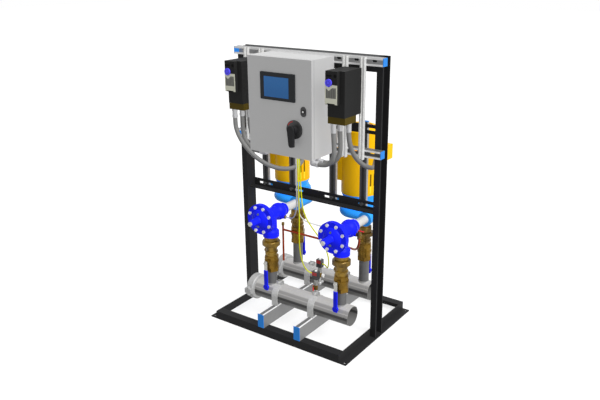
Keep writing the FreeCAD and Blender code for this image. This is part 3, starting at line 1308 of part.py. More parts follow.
CABLES = {
    "discharge_gauge_cable": [
        (88, -240, CABLE_TOP), (89, -238, 986), (87, -232, 905), (82, -224, 826), (76, -213, 748),
        (67, -202, 672), (56, -190, 600), (47, -176, 532), (41, -160, 468), (39, -139, 408),
        (38, -116, 366), (47, -99, 338), (62, "gauge_y_front", 330), ("gauge_x_front - head_width / 2", "gauge_y_front", 330)],
    "suction_gauge_cable": [
        (95, -234, CABLE_TOP), (97, -233, 984), (99, -229, 905), (98, -222, 830), (97, -208, 762),
        (101, -184, 702), (115, -153, 645), (135, -122, 590), (157, -95, 532), (171, -75, 470),
        (168, -58, 412), (146, -33, 362), (112, 8, 332), (84, 42, 323), (61, "gauge_y_rear", 322),
        ("gauge_x_rear + head_width / 2", "gauge_y_rear", 322)],
    "valve_cable_1": [
        (78, -238, CABLE_TOP), (77, -236, 990), (70, -227, 915), (58, -211, 842), (40, -189, 775),
        (16, -163, 716), (-12, -141, 676), (-42, -122, 654), (-70, "port_y", "port_level"),
        (f"{NOZZLES[0]} + port_reach", "port_y", "port_level")],
    "valve_cable_2": [
        (84.5, -231, CABLE_TOP), (84, -229, 985), (78, -222, 910), (68, -210, 840), (55, -195, 775),
        (50, -180, 715), (72, -165, 678), (110, -146, 664), (150, -130, 654), (195, -117, 648),
        (238, "port_y", "port_level"), (f"{NOZZLES[1]} - port_reach", "port_y", "port_level")],
}

for label, route in CONDUITS.items():
    node(label, bent_line(label, "conduit_size", route))
for label, route in CABLES.items():
    node(label, bent_line(label, "cable_size", route))

standpipe = rod("copper_size", "copper_top - 4 - header_level - coupling_size * 0.39", "copper_x",
                "copper_y", "header_level + coupling_size * 0.39")
branch = bent_line("copper branch", "copper_size", [
    ("copper_x", "copper_y", "copper_level"), (120, "copper_y", "copper_level"), (200, 70, 470),
    (330, -40, 520), (378, -92, 560), (PILOT_X, "port_y", 600), (PILOT_X, "port_y", PILOT_BOTTOM)])
node("copper_lines", fuse(standpipe, branch))


# Check and write

doc.recompute()
faulty = [item.Label for item in doc.Objects if {"Invalid", "Error"} & set(item.State)]
if faulty:
    raise RuntimeError(f"These features did not rebuild: {faulty}")
os.makedirs("parts", exist_ok=True)
for thing in NODES:
    if thing.Shape.isNull() or not thing.Shape.isValid():
        raise RuntimeError(f"{thing.Label} has no valid shape")
    thing.Shape.exportStep(f"parts/{thing.Label}.step")
print(f"{len(NODES)} sub-parts written")
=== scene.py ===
"""Looks of the twin booster pump set, in metres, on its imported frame.

X runs to the right seen from the panel's door, Y to the back and Z up from the floor.
"""

import math

import bmesh
import bpy
from mathutils import Matrix, Vector


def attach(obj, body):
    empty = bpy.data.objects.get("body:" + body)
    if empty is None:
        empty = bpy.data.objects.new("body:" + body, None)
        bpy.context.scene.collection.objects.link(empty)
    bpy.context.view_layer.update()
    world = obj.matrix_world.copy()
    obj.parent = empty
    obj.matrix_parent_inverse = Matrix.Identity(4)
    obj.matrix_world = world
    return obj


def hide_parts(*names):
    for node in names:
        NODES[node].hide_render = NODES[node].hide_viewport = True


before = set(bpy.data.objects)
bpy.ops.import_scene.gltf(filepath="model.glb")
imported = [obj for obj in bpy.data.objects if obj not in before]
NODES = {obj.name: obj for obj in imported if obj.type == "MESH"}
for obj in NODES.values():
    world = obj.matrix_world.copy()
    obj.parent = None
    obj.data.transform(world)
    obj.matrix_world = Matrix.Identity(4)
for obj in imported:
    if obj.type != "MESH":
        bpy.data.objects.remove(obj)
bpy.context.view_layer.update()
SCENE = bpy.context.scene


# Camera, as fitted to the photograph

PICTURE = (600, 400)
FOCAL_PIXELS = 674.66
OPTICAL_CENTRE = (322.95, 200.68)
EYE = (2.12044, -3.00821, 2.01725)
AZIMUTH, ELEVATION, ROLL = 34.0586, 19.2335, -0.0323
SENSOR = 36


def place_camera():
    """The photograph's view, for a picture of 600 by 400 pixels."""
    data = bpy.data.cameras.new("camera")
    camera = bpy.data.objects.new("camera", data)
    SCENE.collection.objects.link(camera)
    data.sensor_width = SENSOR
    data.sensor_fit = "HORIZONTAL"
    data.lens = FOCAL_PIXELS / PICTURE[0] * SENSOR
    data.shift_x = (PICTURE[0] / 2 - OPTICAL_CENTRE[0]) / PICTURE[0]
    data.shift_y = (OPTICAL_CENTRE[1] - PICTURE[1] / 2) / PICTURE[0]
    data.clip_end = 50
    camera.location = EYE
    camera.rotation_euler = [math.radians(turn) for turn in (90 - ELEVATION, ROLL, AZIMUTH)]
    SCENE.camera = camera


place_camera()


# Shader values that can be added, multiplied and mixed

class Value:
    """An output of a material's node tree, with arithmetic."""

    def __init__(self, paint, socket):
        self.paint = paint
        self.socket = socket

    def __add__(self, other):
        return self.paint.maths("ADD", self, other)

    def __sub__(self, other):
        return self.paint.maths("SUBTRACT", self, other)

    def __rsub__(self, other):
        return self.paint.maths("SUBTRACT", other, self)

    def __mul__(self, other):
        return self.paint.maths("MULTIPLY", self, other)

    __radd__ = __add__
    __rmul__ = __mul__

    def between(self, low, high):
        """Rises smoothly from 0 at low to 1 at high."""
        out = self.paint.node("ShaderNodeMapRange", interpolation_type="SMOOTHSTEP", inputs={
            "Value": self, "From Min": low, "From Max": high})
        return Value(self.paint, out.outputs["Result"])

    def larger(self, other):
        return self.paint.maths("MAXIMUM", self, other)

    def power(self, exponent):
        return self.paint.maths("POWER", self, exponent)


class Paint:
    """A material built from one Principled shader."""

    def __init__(self, name):
        self.material = bpy.data.materials.new(name)
        self.material.use_nodes = True
        self.tree = self.material.node_tree
        self.shader = self.tree.nodes["Principled BSDF"]
        place = self.tree.nodes.new("ShaderNodeTexCoord").outputs["Object"]
        self.place = Value(self, place)
        split = self.node("ShaderNodeSeparateXYZ", inputs={0: self.place})
        self.x, self.y, self.z = (Value(self, split.outputs[axis]) for axis in "XYZ")

    def node(self, kind, inputs=None, **settings):
        made = self.tree.nodes.new(kind)
        for name, setting in settings.items():
            setattr(made, name, setting)
        for name, value in (inputs or {}).items():
            self.feed(made.inputs[name], value)
        return made

    def feed(self, socket, value):
        if isinstance(value, Value):
            self.tree.links.new(value.socket, socket)
        elif isinstance(value, tuple) and len(socket.default_value) == 4:
            socket.default_value = (*value, 1)
        else:
            socket.default_value = value

    def maths(self, operation, first, second):
        made = self.node("ShaderNodeMath", operation=operation, inputs={0: first, 1: second})
        return Value(self, made.outputs[0])

    def stretched(self, across, deep, high):
        made = self.node("ShaderNodeVectorMath", operation="MULTIPLY",
                         inputs={0: self.place, 1: (across, deep, high)})
        return Value(self, made.outputs[0])

    def noise(self, scale, detail=4, place=None):
        made = self.node("ShaderNodeTexNoise", inputs={
            "Vector": place or self.place, "Scale": scale, "Detail": detail})
        return Value(self, made.outputs["Fac"])

    def cells(self, scale):
        made = self.node("ShaderNodeTexVoronoi", inputs={"Vector": self.place, "Scale": scale})
        return Value(self, made.outputs["Distance"])

    def size_of(self, value):
        return self.maths("ABSOLUTE", value, 0)

    def band(self, value, low, high, soft=0.0005):
        """1 where the value lies between low and high."""
        return value.between(low - soft, low) * (1 - value.between(high, high + soft))

    def radius(self, across, up):
        """Distance from a line along Y through the point (across, up)."""
        square = self.maths("POWER", self.size_of(self.x - across), 2)
        return (square + self.maths("POWER", self.size_of(self.z - up), 2)).power(0.5)

    def off_axis(self, deep):
        """Distance from a header's middle line, which runs along X."""
        square = self.maths("POWER", self.size_of(self.y - deep), 2)
        return (square + self.maths("POWER", self.size_of(self.z - HEADER_LEVEL), 2)).power(0.5)

    def mix(self, first, second, share):
        made = self.node("ShaderNodeMix", data_type="RGBA", clamp_factor=True)
        factor, one, two = (next(s for s in made.inputs if s.identifier == name)
                            for name in ("Factor_Float", "A_Color", "B_Color"))
        self.feed(factor, share)
        self.feed(one, first)
        self.feed(two, second)
        return Value(self, next(s for s in made.outputs if s.identifier == "Result_Color"))

    def bump(self, height, distance):
        made = self.node("ShaderNodeBump", inputs={"Height": height, "Distance": distance})
        return Value(self, made.outputs["Normal"])

    def set(self, **values):
        for name, value in values.items():
            self.feed(self.shader.inputs[name.replace("_", " ").title()], value)
        return self

    def gloss(self, level):
        self.shader.inputs["Specular IOR Level"].default_value = level
        return self


def shade(colour, share):
    """A colour made darker or lighter by a share."""
    return tuple(channel * share for channel in colour)


def coated(name, colour, roughness=0.45, grain=700, relief=0.00006, wear=0.06):
    """Paint or powder coat: faint clouding, orange peel and a little dust in the low places."""
    paint = Paint(name)
    cloud = paint.noise(6, 5)
    peel = paint.noise(grain, 3)
    dust = paint.noise(38, 6).between(0.55, 0.8)
    tinted = paint.mix(shade(colour, 0.88), shade(colour, 1.06), cloud)
    dusty = paint.mix(tinted, (0.42, 0.41, 0.39), dust * wear)
    return paint.set(base_color=dusty, roughness=cloud * 0.16 + dust * 0.12 + (roughness - 0.08),
                     normal=paint.bump(peel, relief))


def zinc(name, colour, metallic=0.55):
    """Galvanised sheet with its spangle."""
    paint = Paint(name)
    spangle = paint.cells(95)
    streak = paint.noise(30, 4, paint.stretched(1, 1, 6))
    tone = paint.mix(shade(colour, 0.8), shade(colour, 1.12), spangle * 0.7 + streak * 0.4)
    return paint.set(base_color=tone, metallic=metallic, roughness=spangle * 0.2 + 0.33,
                     normal=paint.bump(streak, 0.00008))


def cast(name, colour, metallic, roughness, relief=0.00025):
    """Sand-cast or turned metal: a fine grain over broad stains."""
    paint = Paint(name)
    sand = paint.noise(420, 5)
    stain = paint.noise(17, 6)
    tone = paint.mix(shade(colour, 0.62), shade(colour, 1.15), stain.between(0.3, 0.72))
    return paint.set(base_color=tone, metallic=metallic, roughness=stain * 0.2 + (roughness - 0.1),
                     normal=paint.bump(sand, relief))


def moulded(name, colour, roughness=0.5, grain=1300, relief=0.00003):
    """Plastic with a spark-eroded grain."""
    paint = Paint(name)
    fine = paint.noise(grain, 2)
    smear = paint.noise(22, 5)
    tone = paint.mix(shade(colour, 0.9), shade(colour, 1.08), smear)
    return paint.set(base_color=tone, roughness=smear * 0.18 + (roughness - 0.09),
                     normal=paint.bump(fine, relief))


def pipe_paint():
    """Galvanised header with a painted highlight, a painted reflection streak and painted shade bands, and
    risers in painted shade.
    """
    paint = Paint("pipe_steel")
    spangle = paint.cells(70)
    run = paint.noise(9, 5, paint.stretched(0.4, 3, 3))
    height = (paint.z - HEADER_LEVEL) * (1 / HEADER_RADIUS)
    # Painted highlight along the top and painted shade on the sides, graded by height on the header.
    painted_lit_crown = paint.mix((0.42, 0.415, 0.4), (0.54, 0.53, 0.515), spangle * 0.5 + run * 0.5)
    painted_shade_flank = paint.mix((0.25, 0.245, 0.24), (0.32, 0.315, 0.305), run)
    tone = paint.mix(painted_shade_flank, painted_lit_crown, height.between(0.68, 0.8))
    # A pale painted reflection streak, then a near-black band of painted shade below the middle.
    tone = paint.mix(tone, (0.42, 0.41, 0.4), paint.band(height, 0.42, 0.46, 0.05))
    tone = paint.mix(tone, (0.06, 0.059, 0.058), 1 - height.between(0.09, 0.17))
    # Painted shade on the underside.
    with_painted_underside = paint.mix(tone, (0.17, 0.168, 0.165), 1 - height.between(-0.24, -0.1))
    # The bore keeps one plain grey, free of the painted bands.
    depth = paint.maths("MINIMUM", paint.off_axis(FRONT_HEADER), paint.off_axis(REAR_HEADER))
    bore = 1 - depth.between(HEADER_RADIUS - 0.004, HEADER_RADIUS - 0.003)
    shaded = paint.mix(with_painted_underside, (0.4, 0.395, 0.385), bore)
    # The risers above the header top are darkened as painted shade.
    painted_shade = paint.mix((0.1, 0.1, 0.1), (0.14, 0.14, 0.14), run)
    high = paint.z.between(HEADER_TOP, HEADER_TOP + 0.002)
    return paint.set(base_color=paint.mix(shaded, painted_shade, high), metallic=0.1,
                     roughness=spangle * 0.15 + 0.36, normal=paint.bump(run, 0.0003)).gloss(0.25)


def brass_tone(paint, stain):
    """Brass with darker stains."""
    return paint.mix((0.08, 0.045, 0.004), (0.25, 0.15, 0.016), stain.between(0.36, 0.66))


def fitting_paint():
    """Brass, apart from the white nipple between pump and valve."""
    paint = Paint("brass_fittings")
    sand = paint.noise(420, 5)
    stain = paint.noise(17, 6)
    lines = paint.noise(60, 2, paint.stretched(1, 0.02, 1))
    pale = paint.mix((0.56, 0.555, 0.535), (0.72, 0.71, 0.69), lines)
    high = paint.z.between(NIPPLE_BOTTOM - 0.001, NIPPLE_BOTTOM)
    front = 1 - paint.y.between(NIPPLE_BACK, NIPPLE_BACK + 0.001)
    nipple = high * front
    return paint.set(base_color=paint.mix(brass_tone(paint, stain), pale, nipple),
                     metallic=(1 - nipple) * 0.5, roughness=stain * 0.2 + 0.22,
                     normal=paint.bump(sand, 0.0002))


def instrument_paint():
    """Brass cocks and plugs on galvanised side outlets."""
    paint = Paint("instrument_metal")
    sand = paint.noise(420, 5)
    stain = paint.noise(17, 6)
    pale = paint.mix((0.45, 0.45, 0.44), (0.62, 0.62, 0.61), stain)
    low = 1 - paint.z.between(TAP_TOP, TAP_TOP + 0.0005)
    nut = 1 - paint.y.between(GUIDE_NUT_BACK - 0.01, GUIDE_NUT_BACK)
    plug = 1 - paint.y.between(COVER_PLUG_BACK - 0.01, COVER_PLUG_BACK)
    dull = paint.mix(brass_tone(paint, stain), (0.1, 0.13, 0.13), plug)
    return paint.set(base_color=paint.mix(dull, pale, low.larger(nut)), metallic=0.35,
                     roughness=stain * 0.2 + 0.28, normal=paint.bump(sand, 0.00015))


def lock_paint():
    """A black cam lock with a bright wing in its middle."""
    paint = Paint("lock")
    smear = paint.noise(90, 4)
    black = paint.mix((0.02, 0.02, 0.021), (0.03, 0.03, 0.031), smear)
    bright = paint.mix((0.55, 0.55, 0.54), (0.75, 0.75, 0.74), smear)
    wing = 1 - paint.radius(LOCK_X, LOCK_LEVEL).between(0.0048, 0.0054)
    return paint.set(base_color=paint.mix(black, bright, wing), metallic=wing * 0.4,
                     roughness=smear * 0.16 + 0.34, normal=paint.bump(smear, 0.00003)).gloss(0.1)


def sensor_paint():
    """A stainless body under a black head."""
    paint = Paint("sensor")
    fine = paint.noise(900, 2)
    smear = paint.noise(30, 5)
    steel = paint.mix((0.28, 0.28, 0.27), (0.4, 0.4, 0.38), smear)
    black = paint.mix((0.02, 0.02, 0.021), (0.032, 0.032, 0.034), smear)
    head = paint.z.between(HEAD_BOTTOM, HEAD_BOTTOM + 0.0005)
    return paint.set(base_color=paint.mix(steel, black, head), metallic=(1 - head) * 0.6,
                     roughness=smear * 0.16 + 0.3, normal=paint.bump(fine, 0.00004))


def panel_grey(paint, cloud):
    """The faintly clouded powder coat of door and body."""
    return paint.mix((0.5, 0.5, 0.5), (0.54, 0.54, 0.54), cloud)


def before_door(paint):
    """1 on what stands proud of the door's face."""
    return 1 - paint.y.between(DOOR_FRONT - 0.0008, DOOR_FRONT - 0.0003)


def door_paint():
    """Powder coat, with the black bases of the lock and the switch and the switch's red sector."""
    paint = Paint("door")
    cloud = paint.noise(6, 5)
    peel = paint.noise(900, 3)
    black = paint.mix((0.012, 0.012, 0.0125), (0.018, 0.018, 0.0185), cloud)
    reach = paint.radius(SWITCH_X, SWITCH_LEVEL)
    corner = paint.band(paint.x, SWITCH_X - 0.043, SWITCH_X - 0.008) * (
        paint.z.between(SWITCH_LEVEL + 0.018, SWITCH_LEVEL + 0.02))
    sector = paint.band(reach, 0.0405, 0.0445) * corner
    base = paint.mix(black, (0.42, 0.004, 0.004), sector)
    return paint.set(base_color=paint.mix(panel_grey(paint, cloud), base, before_door(paint)),
                     roughness=cloud * 0.16 + 0.36, normal=paint.bump(peel, 0.00004))


def body_paint():
    """The panel's body, with painted shade in the gasket seam behind the door."""
    paint = Paint("panel_body")
    cloud = paint.noise(6, 5)
    peel = paint.noise(900, 3)
    # Painted shade along the gasket seam behind the door.
    seam_painted_shade = 1 - paint.y.between(DOOR_BACK + 0.002, DOOR_BACK + 0.003)
    return paint.set(base_color=paint.mix(panel_grey(paint, cloud), (0.26, 0.26, 0.26), seam_painted_shade * 0.8),
                     roughness=cloud * 0.16 + 0.36, normal=paint.bump(peel, 0.00004))


def screen_paint():
    """A black bezel round a lit, blank blue screen."""
    paint = Paint("screen")
    fine = paint.noise(1300, 2)
    smear = paint.noise(14, 4)
    left, right, low, high = SCREEN_WINDOW
    window = paint.band(paint.x, left, right) * paint.band(paint.z, low, high) * before_door(paint)
    slope = paint.z.between(low, high) * 0.7 + smear * 0.3
    blue = paint.mix((0.038, 0.15, 0.4), (0.05, 0.19, 0.48), slope)
    black = paint.mix((0.02, 0.022, 0.024), (0.028, 0.03, 0.033), smear)
    return paint.set(base_color=paint.mix(black, blue, window),
                     roughness=(1 - window) * 0.25 + smear * 0.1 + 0.2,
                     normal=paint.bump(fine, 0.00002)).gloss(0.1)


def post_paint():
    """Strut channel, black on its front lips, with painted shade inside the channel and bare zinc at the
    sides.
    """
    paint = Paint("post_steel")
    spangle = paint.cells(95)
    zinc_tone = paint.mix((0.3, 0.3, 0.3), (0.4, 0.4, 0.4), spangle)
    black = paint.mix((0.038, 0.038, 0.038), (0.055, 0.055, 0.055), paint.noise(20, 5))
    front = 1 - paint.y.between(POST_FRONT, POST_FRONT + 0.0005)
    # The inside of each channel is painted as shade, with the same black.
    for middle in POSTS:
        front = front.larger(1 - paint.size_of(paint.x - middle).between(0.0192, 0.0198))
    return paint.set(base_color=paint.mix(zinc_tone, black, front), metallic=0.1,
                     roughness=spangle * 0.2 + 0.4, normal=paint.bump(spangle, 0.00005))


def channel_paint(name, shaded_rest, lip_highlight, edge, axis, forward, high_web=None):
    """Strut channel with a painted highlight on its turned lips and painted shade on the rest; the higher
    of two is paler at the back, with less painted shade.
    """
    paint = Paint(name)
    spangle = paint.cells(95)
    streak = paint.noise(30, 4, paint.stretched(6, 1, 6))
    place = getattr(paint, axis)
    # Painted highlight on the lips in front of or above the edge.
    lit = 1 - place.between(edge, edge + 0.0004) if forward else place.between(edge - 0.0004, edge)
    mixed = spangle * 0.5 + streak * 0.5
    # The rest is a darker copy of the same zinc, as painted shade; the higher panel strut is paler at the
    # back.
    dull = paint.mix(shade(shaded_rest, 0.88), shade(shaded_rest, 1.08), mixed)
    if high_web:
        dull = paint.mix(dull, high_web, paint.z.between(PANEL_MIDDLE - 0.01, PANEL_MIDDLE + 0.01))
    bright = paint.mix(shade(lip_highlight, 0.95), lip_highlight, mixed)
    return paint.set(base_color=paint.mix(dull, bright, lit), metallic=0.1,
                     roughness=spangle * 0.2 + 0.36, normal=paint.bump(streak, 0.00006))


def lever_paint(name, grip_top):
    """A plated strap with a blue dipped grip below it."""
    paint = Paint(name)
    smear = paint.noise(22, 5)
    fine = paint.noise(700, 2)
    steel = paint.mix((0.4, 0.4, 0.37), (0.58, 0.57, 0.53), smear)
    blue = paint.mix((0.008, 0.014, 0.72), (0.011, 0.018, 0.78), smear)
    strap = paint.z.between(grip_top, grip_top + 0.0005)
    return paint.set(base_color=paint.mix(blue, steel, strap), metallic=strap * 0.6,
                     roughness=smear * 0.18 + 0.32, normal=paint.bump(fine, 0.00004)).gloss(0.1)


def show(paint, *names):
    """Gives CAD nodes a material."""
    for name in names:
        slots = NODES[name].data.materials
        slots.clear()
        slots.append(paint.material)


# Places on the part that its paints follow

HEADER_LEVEL = 0.19055
HEADER_RADIUS = 0.05715
HEADER_TOP = 0.2477
FRONT_HEADER, REAR_HEADER = -0.18, 0.146
NIPPLE_BOTTOM = 0.64
NIPPLE_BACK = 0.09
TAP_TOP = 0.2326
HEAD_BOTTOM = 0.30055
DOOR_FRONT = -0.2826
DOOR_BACK = -0.2614
SWITCH_X, SWITCH_LEVEL = 0.105, 1.222
LOCK_X, LOCK_LEVEL = 0.1615, 1.32
SCREEN_WINDOW = (-0.0855, 0.0715, 1.3765, 1.4805)
POSTS = (-0.3575, -0.1575, 0.1255, 0.3255)
POST_FRONT = 0.0409
GUIDE_NUT_BACK = -0.32
COVER_PLUG_BACK = -0.26
PANEL_MIDDLE = 1.3
PANEL_STRUT_FRONT = -0.079
FLOOR_STRUT_TOP = 0.1332
FRONT_GRIP_TOP = 0.3427
REAR_GRIP_TOP = 0.3947

BLACK_STEEL = coated("frame_black", (0.022, 0.022, 0.023), 0.5, wear=0.01).gloss(0.05)
VALVE_BLUE = coated("valve_blue", (0.012, 0.02, 1.0), 0.36, grain=260, relief=0.00015,
                    wear=0).gloss(0.06)
PUMP_BLUE = coated("pump_blue", (0.03, 0.37, 0.98), 0.38, grain=260, relief=0.0002,
                   wear=0.02).gloss(0.15)
MOTOR_YELLOW = coated("motor_yellow", (1.0, 0.55, 0.004), 0.4, grain=500, wear=0.005).gloss(0.08)
GOLD = coated("gold_box", (0.08, 0.056, 0.008), 0.45, wear=0.01).gloss(0.05)
# Panel and floor struts: painted shade on most of the channel, and a painted highlight on the lips.
PANEL_STRUT = channel_paint("panel_strut", (0.12, 0.12, 0.12), (0.8, 0.8, 0.8), PANEL_STRUT_FRONT,
                            "y", True, (0.34, 0.34, 0.34))
FLOOR_STRUT = channel_paint("floor_strut", (0.21, 0.21, 0.21), (0.95, 0.95, 0.95), FLOOR_STRUT_TOP,
                            "z", False)
WELD = cast("weld", (0.28, 0.28, 0.28), 0.4, 0.4, relief=0.0004)
RAIL_ZINC = zinc("rail_zinc", (0.68, 0.68, 0.67), 0.05)
CLAMP_ZINC = zinc("clamp_zinc", (0.52, 0.52, 0.51), 0.1).gloss(0.2)
COUPLING_ZINC = zinc("coupling_zinc", (0.42, 0.42, 0.415), 0.1).gloss(0.2)
STEEL = cast("steel", (0.8, 0.79, 0.7), 0.3, 0.35, relief=0.00008)
ROTOR_STEEL = cast("rotor_steel", (0.45, 0.45, 0.45), 0.8, 0.4)
PIPE = pipe_paint()
BRASS = cast("brass", (0.2, 0.112, 0.012), 0.5, 0.28).gloss(0.2)
FITTINGS = fitting_paint()
INSTRUMENTS = instrument_paint()
COPPER = cast("copper", (0.4, 0.05, 0.012), 0.3, 0.34, relief=0.00006).gloss(0.15)
CAP_BLUE = moulded("cap_blue", (0.028, 0.24, 0.74)).gloss(0.1)
FRONT_LEVER = lever_paint("front_lever", FRONT_GRIP_TOP)
REAR_LEVER = lever_paint("rear_lever", REAR_GRIP_TOP)
LEVER_BLUE = moulded("lever_blue", (0.01, 0.016, 0.75), 0.4).gloss(0.1)
LEVER_RED = moulded("lever_red", (0.8, 0.012, 0.01), 0.4)
KNOB_WHITE = moulded("knob_white", (0.9, 0.9, 0.88), 0.4)
DRIVE_BLACK = moulded("drive_black", (0.022, 0.022, 0.022), 0.55).gloss(0.04)
# Near-black for the keypad's openings, as painted shade.
OPENING_SHADE = moulded("opening_painted_shade", (0.004, 0.004, 0.004), 0.6).gloss(0.05)
SENSOR = sensor_paint()
DOOR = door_paint()
PANEL = body_paint()
SCREEN = screen_paint()
SWITCH_BLACK = moulded("switch_black", (0.018, 0.018, 0.019), 0.45).gloss(0.1)
DIAL_BLUE = moulded("dial_blue", (0.12, 0.1, 1.0), 0.4).gloss(0.2)
DIAL_RING = moulded("dial_ring", (0.06, 0.05, 0.6), 0.4).gloss(0.2)
KEYPAD = moulded("keypad_beige", (0.66, 0.66, 0.54), 0.5)
RIB_GREY = moulded("rib_grey", (0.16, 0.16, 0.14), 0.5)
RIB_DARK = moulded("rib_dark", (0.065, 0.065, 0.058), 0.5)
DISPLAY_RED = moulded("display_red", (0.42, 0.006, 0.006), 0.35)
GLAND_GREY = moulded("gland_grey", (0.52, 0.52, 0.53), 0.45).gloss(0.3)
GEAR_GREY = moulded("gear_grey", (0.55, 0.55, 0.52), 0.5)
# Motor slot colours: painted shade in the slots, and a painted highlight at their feet.
VENT_PAINTED_SHADE = moulded("vent_painted_shade", (0.2, 0.11, 0.002), 0.6).gloss(0.1)
VENT_PAINTED_HIGHLIGHT = moulded("vent_painted_highlight", (1.0, 0.75, 0.02), 0.5)
CONDUIT = moulded("conduit", (0.2, 0.2, 0.196), 0.5, grain=300, relief=0.0001).gloss(0.2)
CABLE_YELLOW = moulded("cable_yellow", (0.72, 0.74, 0.006), 0.4).gloss(0.1)
CABLE_WHITE = moulded("cable_white", (0.6, 0.6, 0.59), 0.4).gloss(0.2)

show(BLACK_STEEL, "base_rails", "uprights", "top_crossbar", "slotted_crossbars")
show(post_paint(), "pump_posts")
show(PANEL_STRUT, "panel_struts")
show(FLOOR_STRUT, "header_struts")
show(RAIL_ZINC, "drive_rails")
show(PUMP_BLUE, "pump_plates", "pump_casings", "motor_adapters")
show(CAP_BLUE, "strut_end_caps")
show(CLAMP_ZINC, "pipe_clamps")
show(COUPLING_ZINC, "end_couplings")
show(PIPE, "discharge_header", "suction_header")
show(BRASS, "ball_valve_bodies")
show(INSTRUMENTS, "instrument_fittings")
show(FITTINGS, "pipe_fittings")
show(VALVE_BLUE, "control_valve_bodies", "control_valve_covers")
show(STEEL, "cover_bolts", "control_valve_stem_1", "control_valve_stem_2")
show(lock_paint(), "door_lock")
show(MOTOR_YELLOW, "motor_frames", "fan_cowls", "motor_boxes")
show(ROTOR_STEEL, "pump_rotor_1", "pump_rotor_2")
show(PANEL, "enclosure_body")
show(DOOR, "enclosure_door")
show(GEAR_GREY, "panel_equipment")
show(SCREEN, "touch_screen")
show(SWITCH_BLACK, "disconnect_handle")
show(DRIVE_BLACK, "drive_bodies", "drive_keypads")
show(GOLD, "drive_gland_boxes")
show(DIAL_BLUE, "drive_dial_left", "drive_dial_right")
show(GLAND_GREY, "cable_glands")
show(SENSOR, "pressure_transducers")
show(COPPER, "copper_lines")
show(FRONT_LEVER, "discharge_lever_1", "discharge_lever_2")
show(REAR_LEVER, "suction_lever_1", "suction_lever_2")
show(LEVER_RED, "gauge_cock_lever", "pilot_cock_lever")
show(KNOB_WHITE, "gauge_cock_knob")


# Small forms that the photograph shows on the bought-in pieces

ROUND_SIDES = 40
UP = Vector((0, 0, 1))
TO_FRONT = (0, -1, 0)


def finish_piece(name, body, paint, shape, soften=0.0):
    """Turns a bmesh in the part's own frame into a piece that rides on a body."""
    if soften:
        bmesh.ops.bevel(shape, geom=shape.edges[:], offset=soften, segments=2, affect="EDGES",
                        profile=0.5, clamp_overlap=True)
    bmesh.ops.recalc_face_normals(shape, faces=shape.faces)
    mesh = bpy.data.meshes.new(name)
    shape.to_mesh(mesh)
    shape.free()
    piece = bpy.data.objects.new(name, mesh)
    SCENE.collection.objects.link(piece)
    mesh.materials.append(paint.material)
    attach(piece, body)


def block(shape, low, high):
    """A box between two corners; gives back its vertices."""
    middle = [(a + b) / 2 for a, b in zip(low, high)]
    lengths = [b - a for a, b in zip(low, high)]
    place = Matrix.Translation(middle) @ Matrix.Diagonal((*lengths, 1))
    return bmesh.ops.create_cube(shape, size=1, matrix=place)["verts"]


def prism(shape, corners, front, back):
    """A flat shape given as (x, z) corners, from front to back along Y."""
    near = [shape.verts.new((x, front, z)) for x, z in corners]
    far = [shape.verts.new((x, back, z)) for x, z in corners]
    shape.faces.new(near)
    shape.faces.new(list(reversed(far)))
    for index, vertex in enumerate(near):
        after = (index + 1) % len(near)
        shape.faces.new((vertex, near[after], far[after], far[index]))


def ring(shape, centre, inner, outer, depth, toward):
    """A flat ring, its back on the centre and its face depth away along the direction."""
    turn = Vector(toward).to_track_quat("Z", "Y").to_matrix().to_4x4()
    place = Matrix.Translation(centre) @ turn
    loops = []
    for radius, level in ((inner, 0), (outer, 0), (outer, depth), (inner, depth)):
        points = []
        for step in range(ROUND_SIDES):
            angle = 2 * math.pi * step / ROUND_SIDES
            spot = Vector((radius * math.cos(angle), radius * math.sin(angle), level))
            points.append(shape.verts.new(place @ spot))
        loops.append(points)
    for one, two in zip(loops, loops[1:] + loops[:1]):
        for step in range(ROUND_SIDES):
            after = (step + 1) % ROUND_SIDES
            shape.faces.new((one[step], one[after], two[after], two[step]))


def disc(shape, centre, radius, depth, toward, sides=ROUND_SIDES):
    """A solid disc, its back on the centre and its face depth away along the direction."""
    turn = Vector(toward).to_track_quat("Z", "Y").to_matrix().to_4x4()
    place = Matrix.Translation(Vector(centre) + Vector(toward).normalized() * depth / 2) @ turn
    bmesh.ops.create_cone(shape, cap_ends=True, segments=sides, radius1=radius, radius2=radius,
                          depth=depth, matrix=place)


def low_corner(name):
    """Lowest x, y and z of a CAD node."""
    return [min(vertex.co[axis] for vertex in NODES[name].data.vertices) for axis in range(3)]


def high_corner(name):
    """Highest x, y and z of a CAD node."""
    return [max(vertex.co[axis] for vertex in NODES[name].data.vertices) for axis in range(3)]


def middle_of(name):
    """Middle of a CAD node's box."""
    return [(a + b) / 2 for a, b in zip(low_corner(name), high_corner(name))]


KEYPAD_FRONT = -0.276
KEYPAD_WIDTH = 0.071
KEYPAD_LOW, KEYPAD_HIGH = 1.374, 1.469
SOCKET_LEVEL = 1.513
KEYPAD_RIBS = 6
RIB_PITCH = 0.01


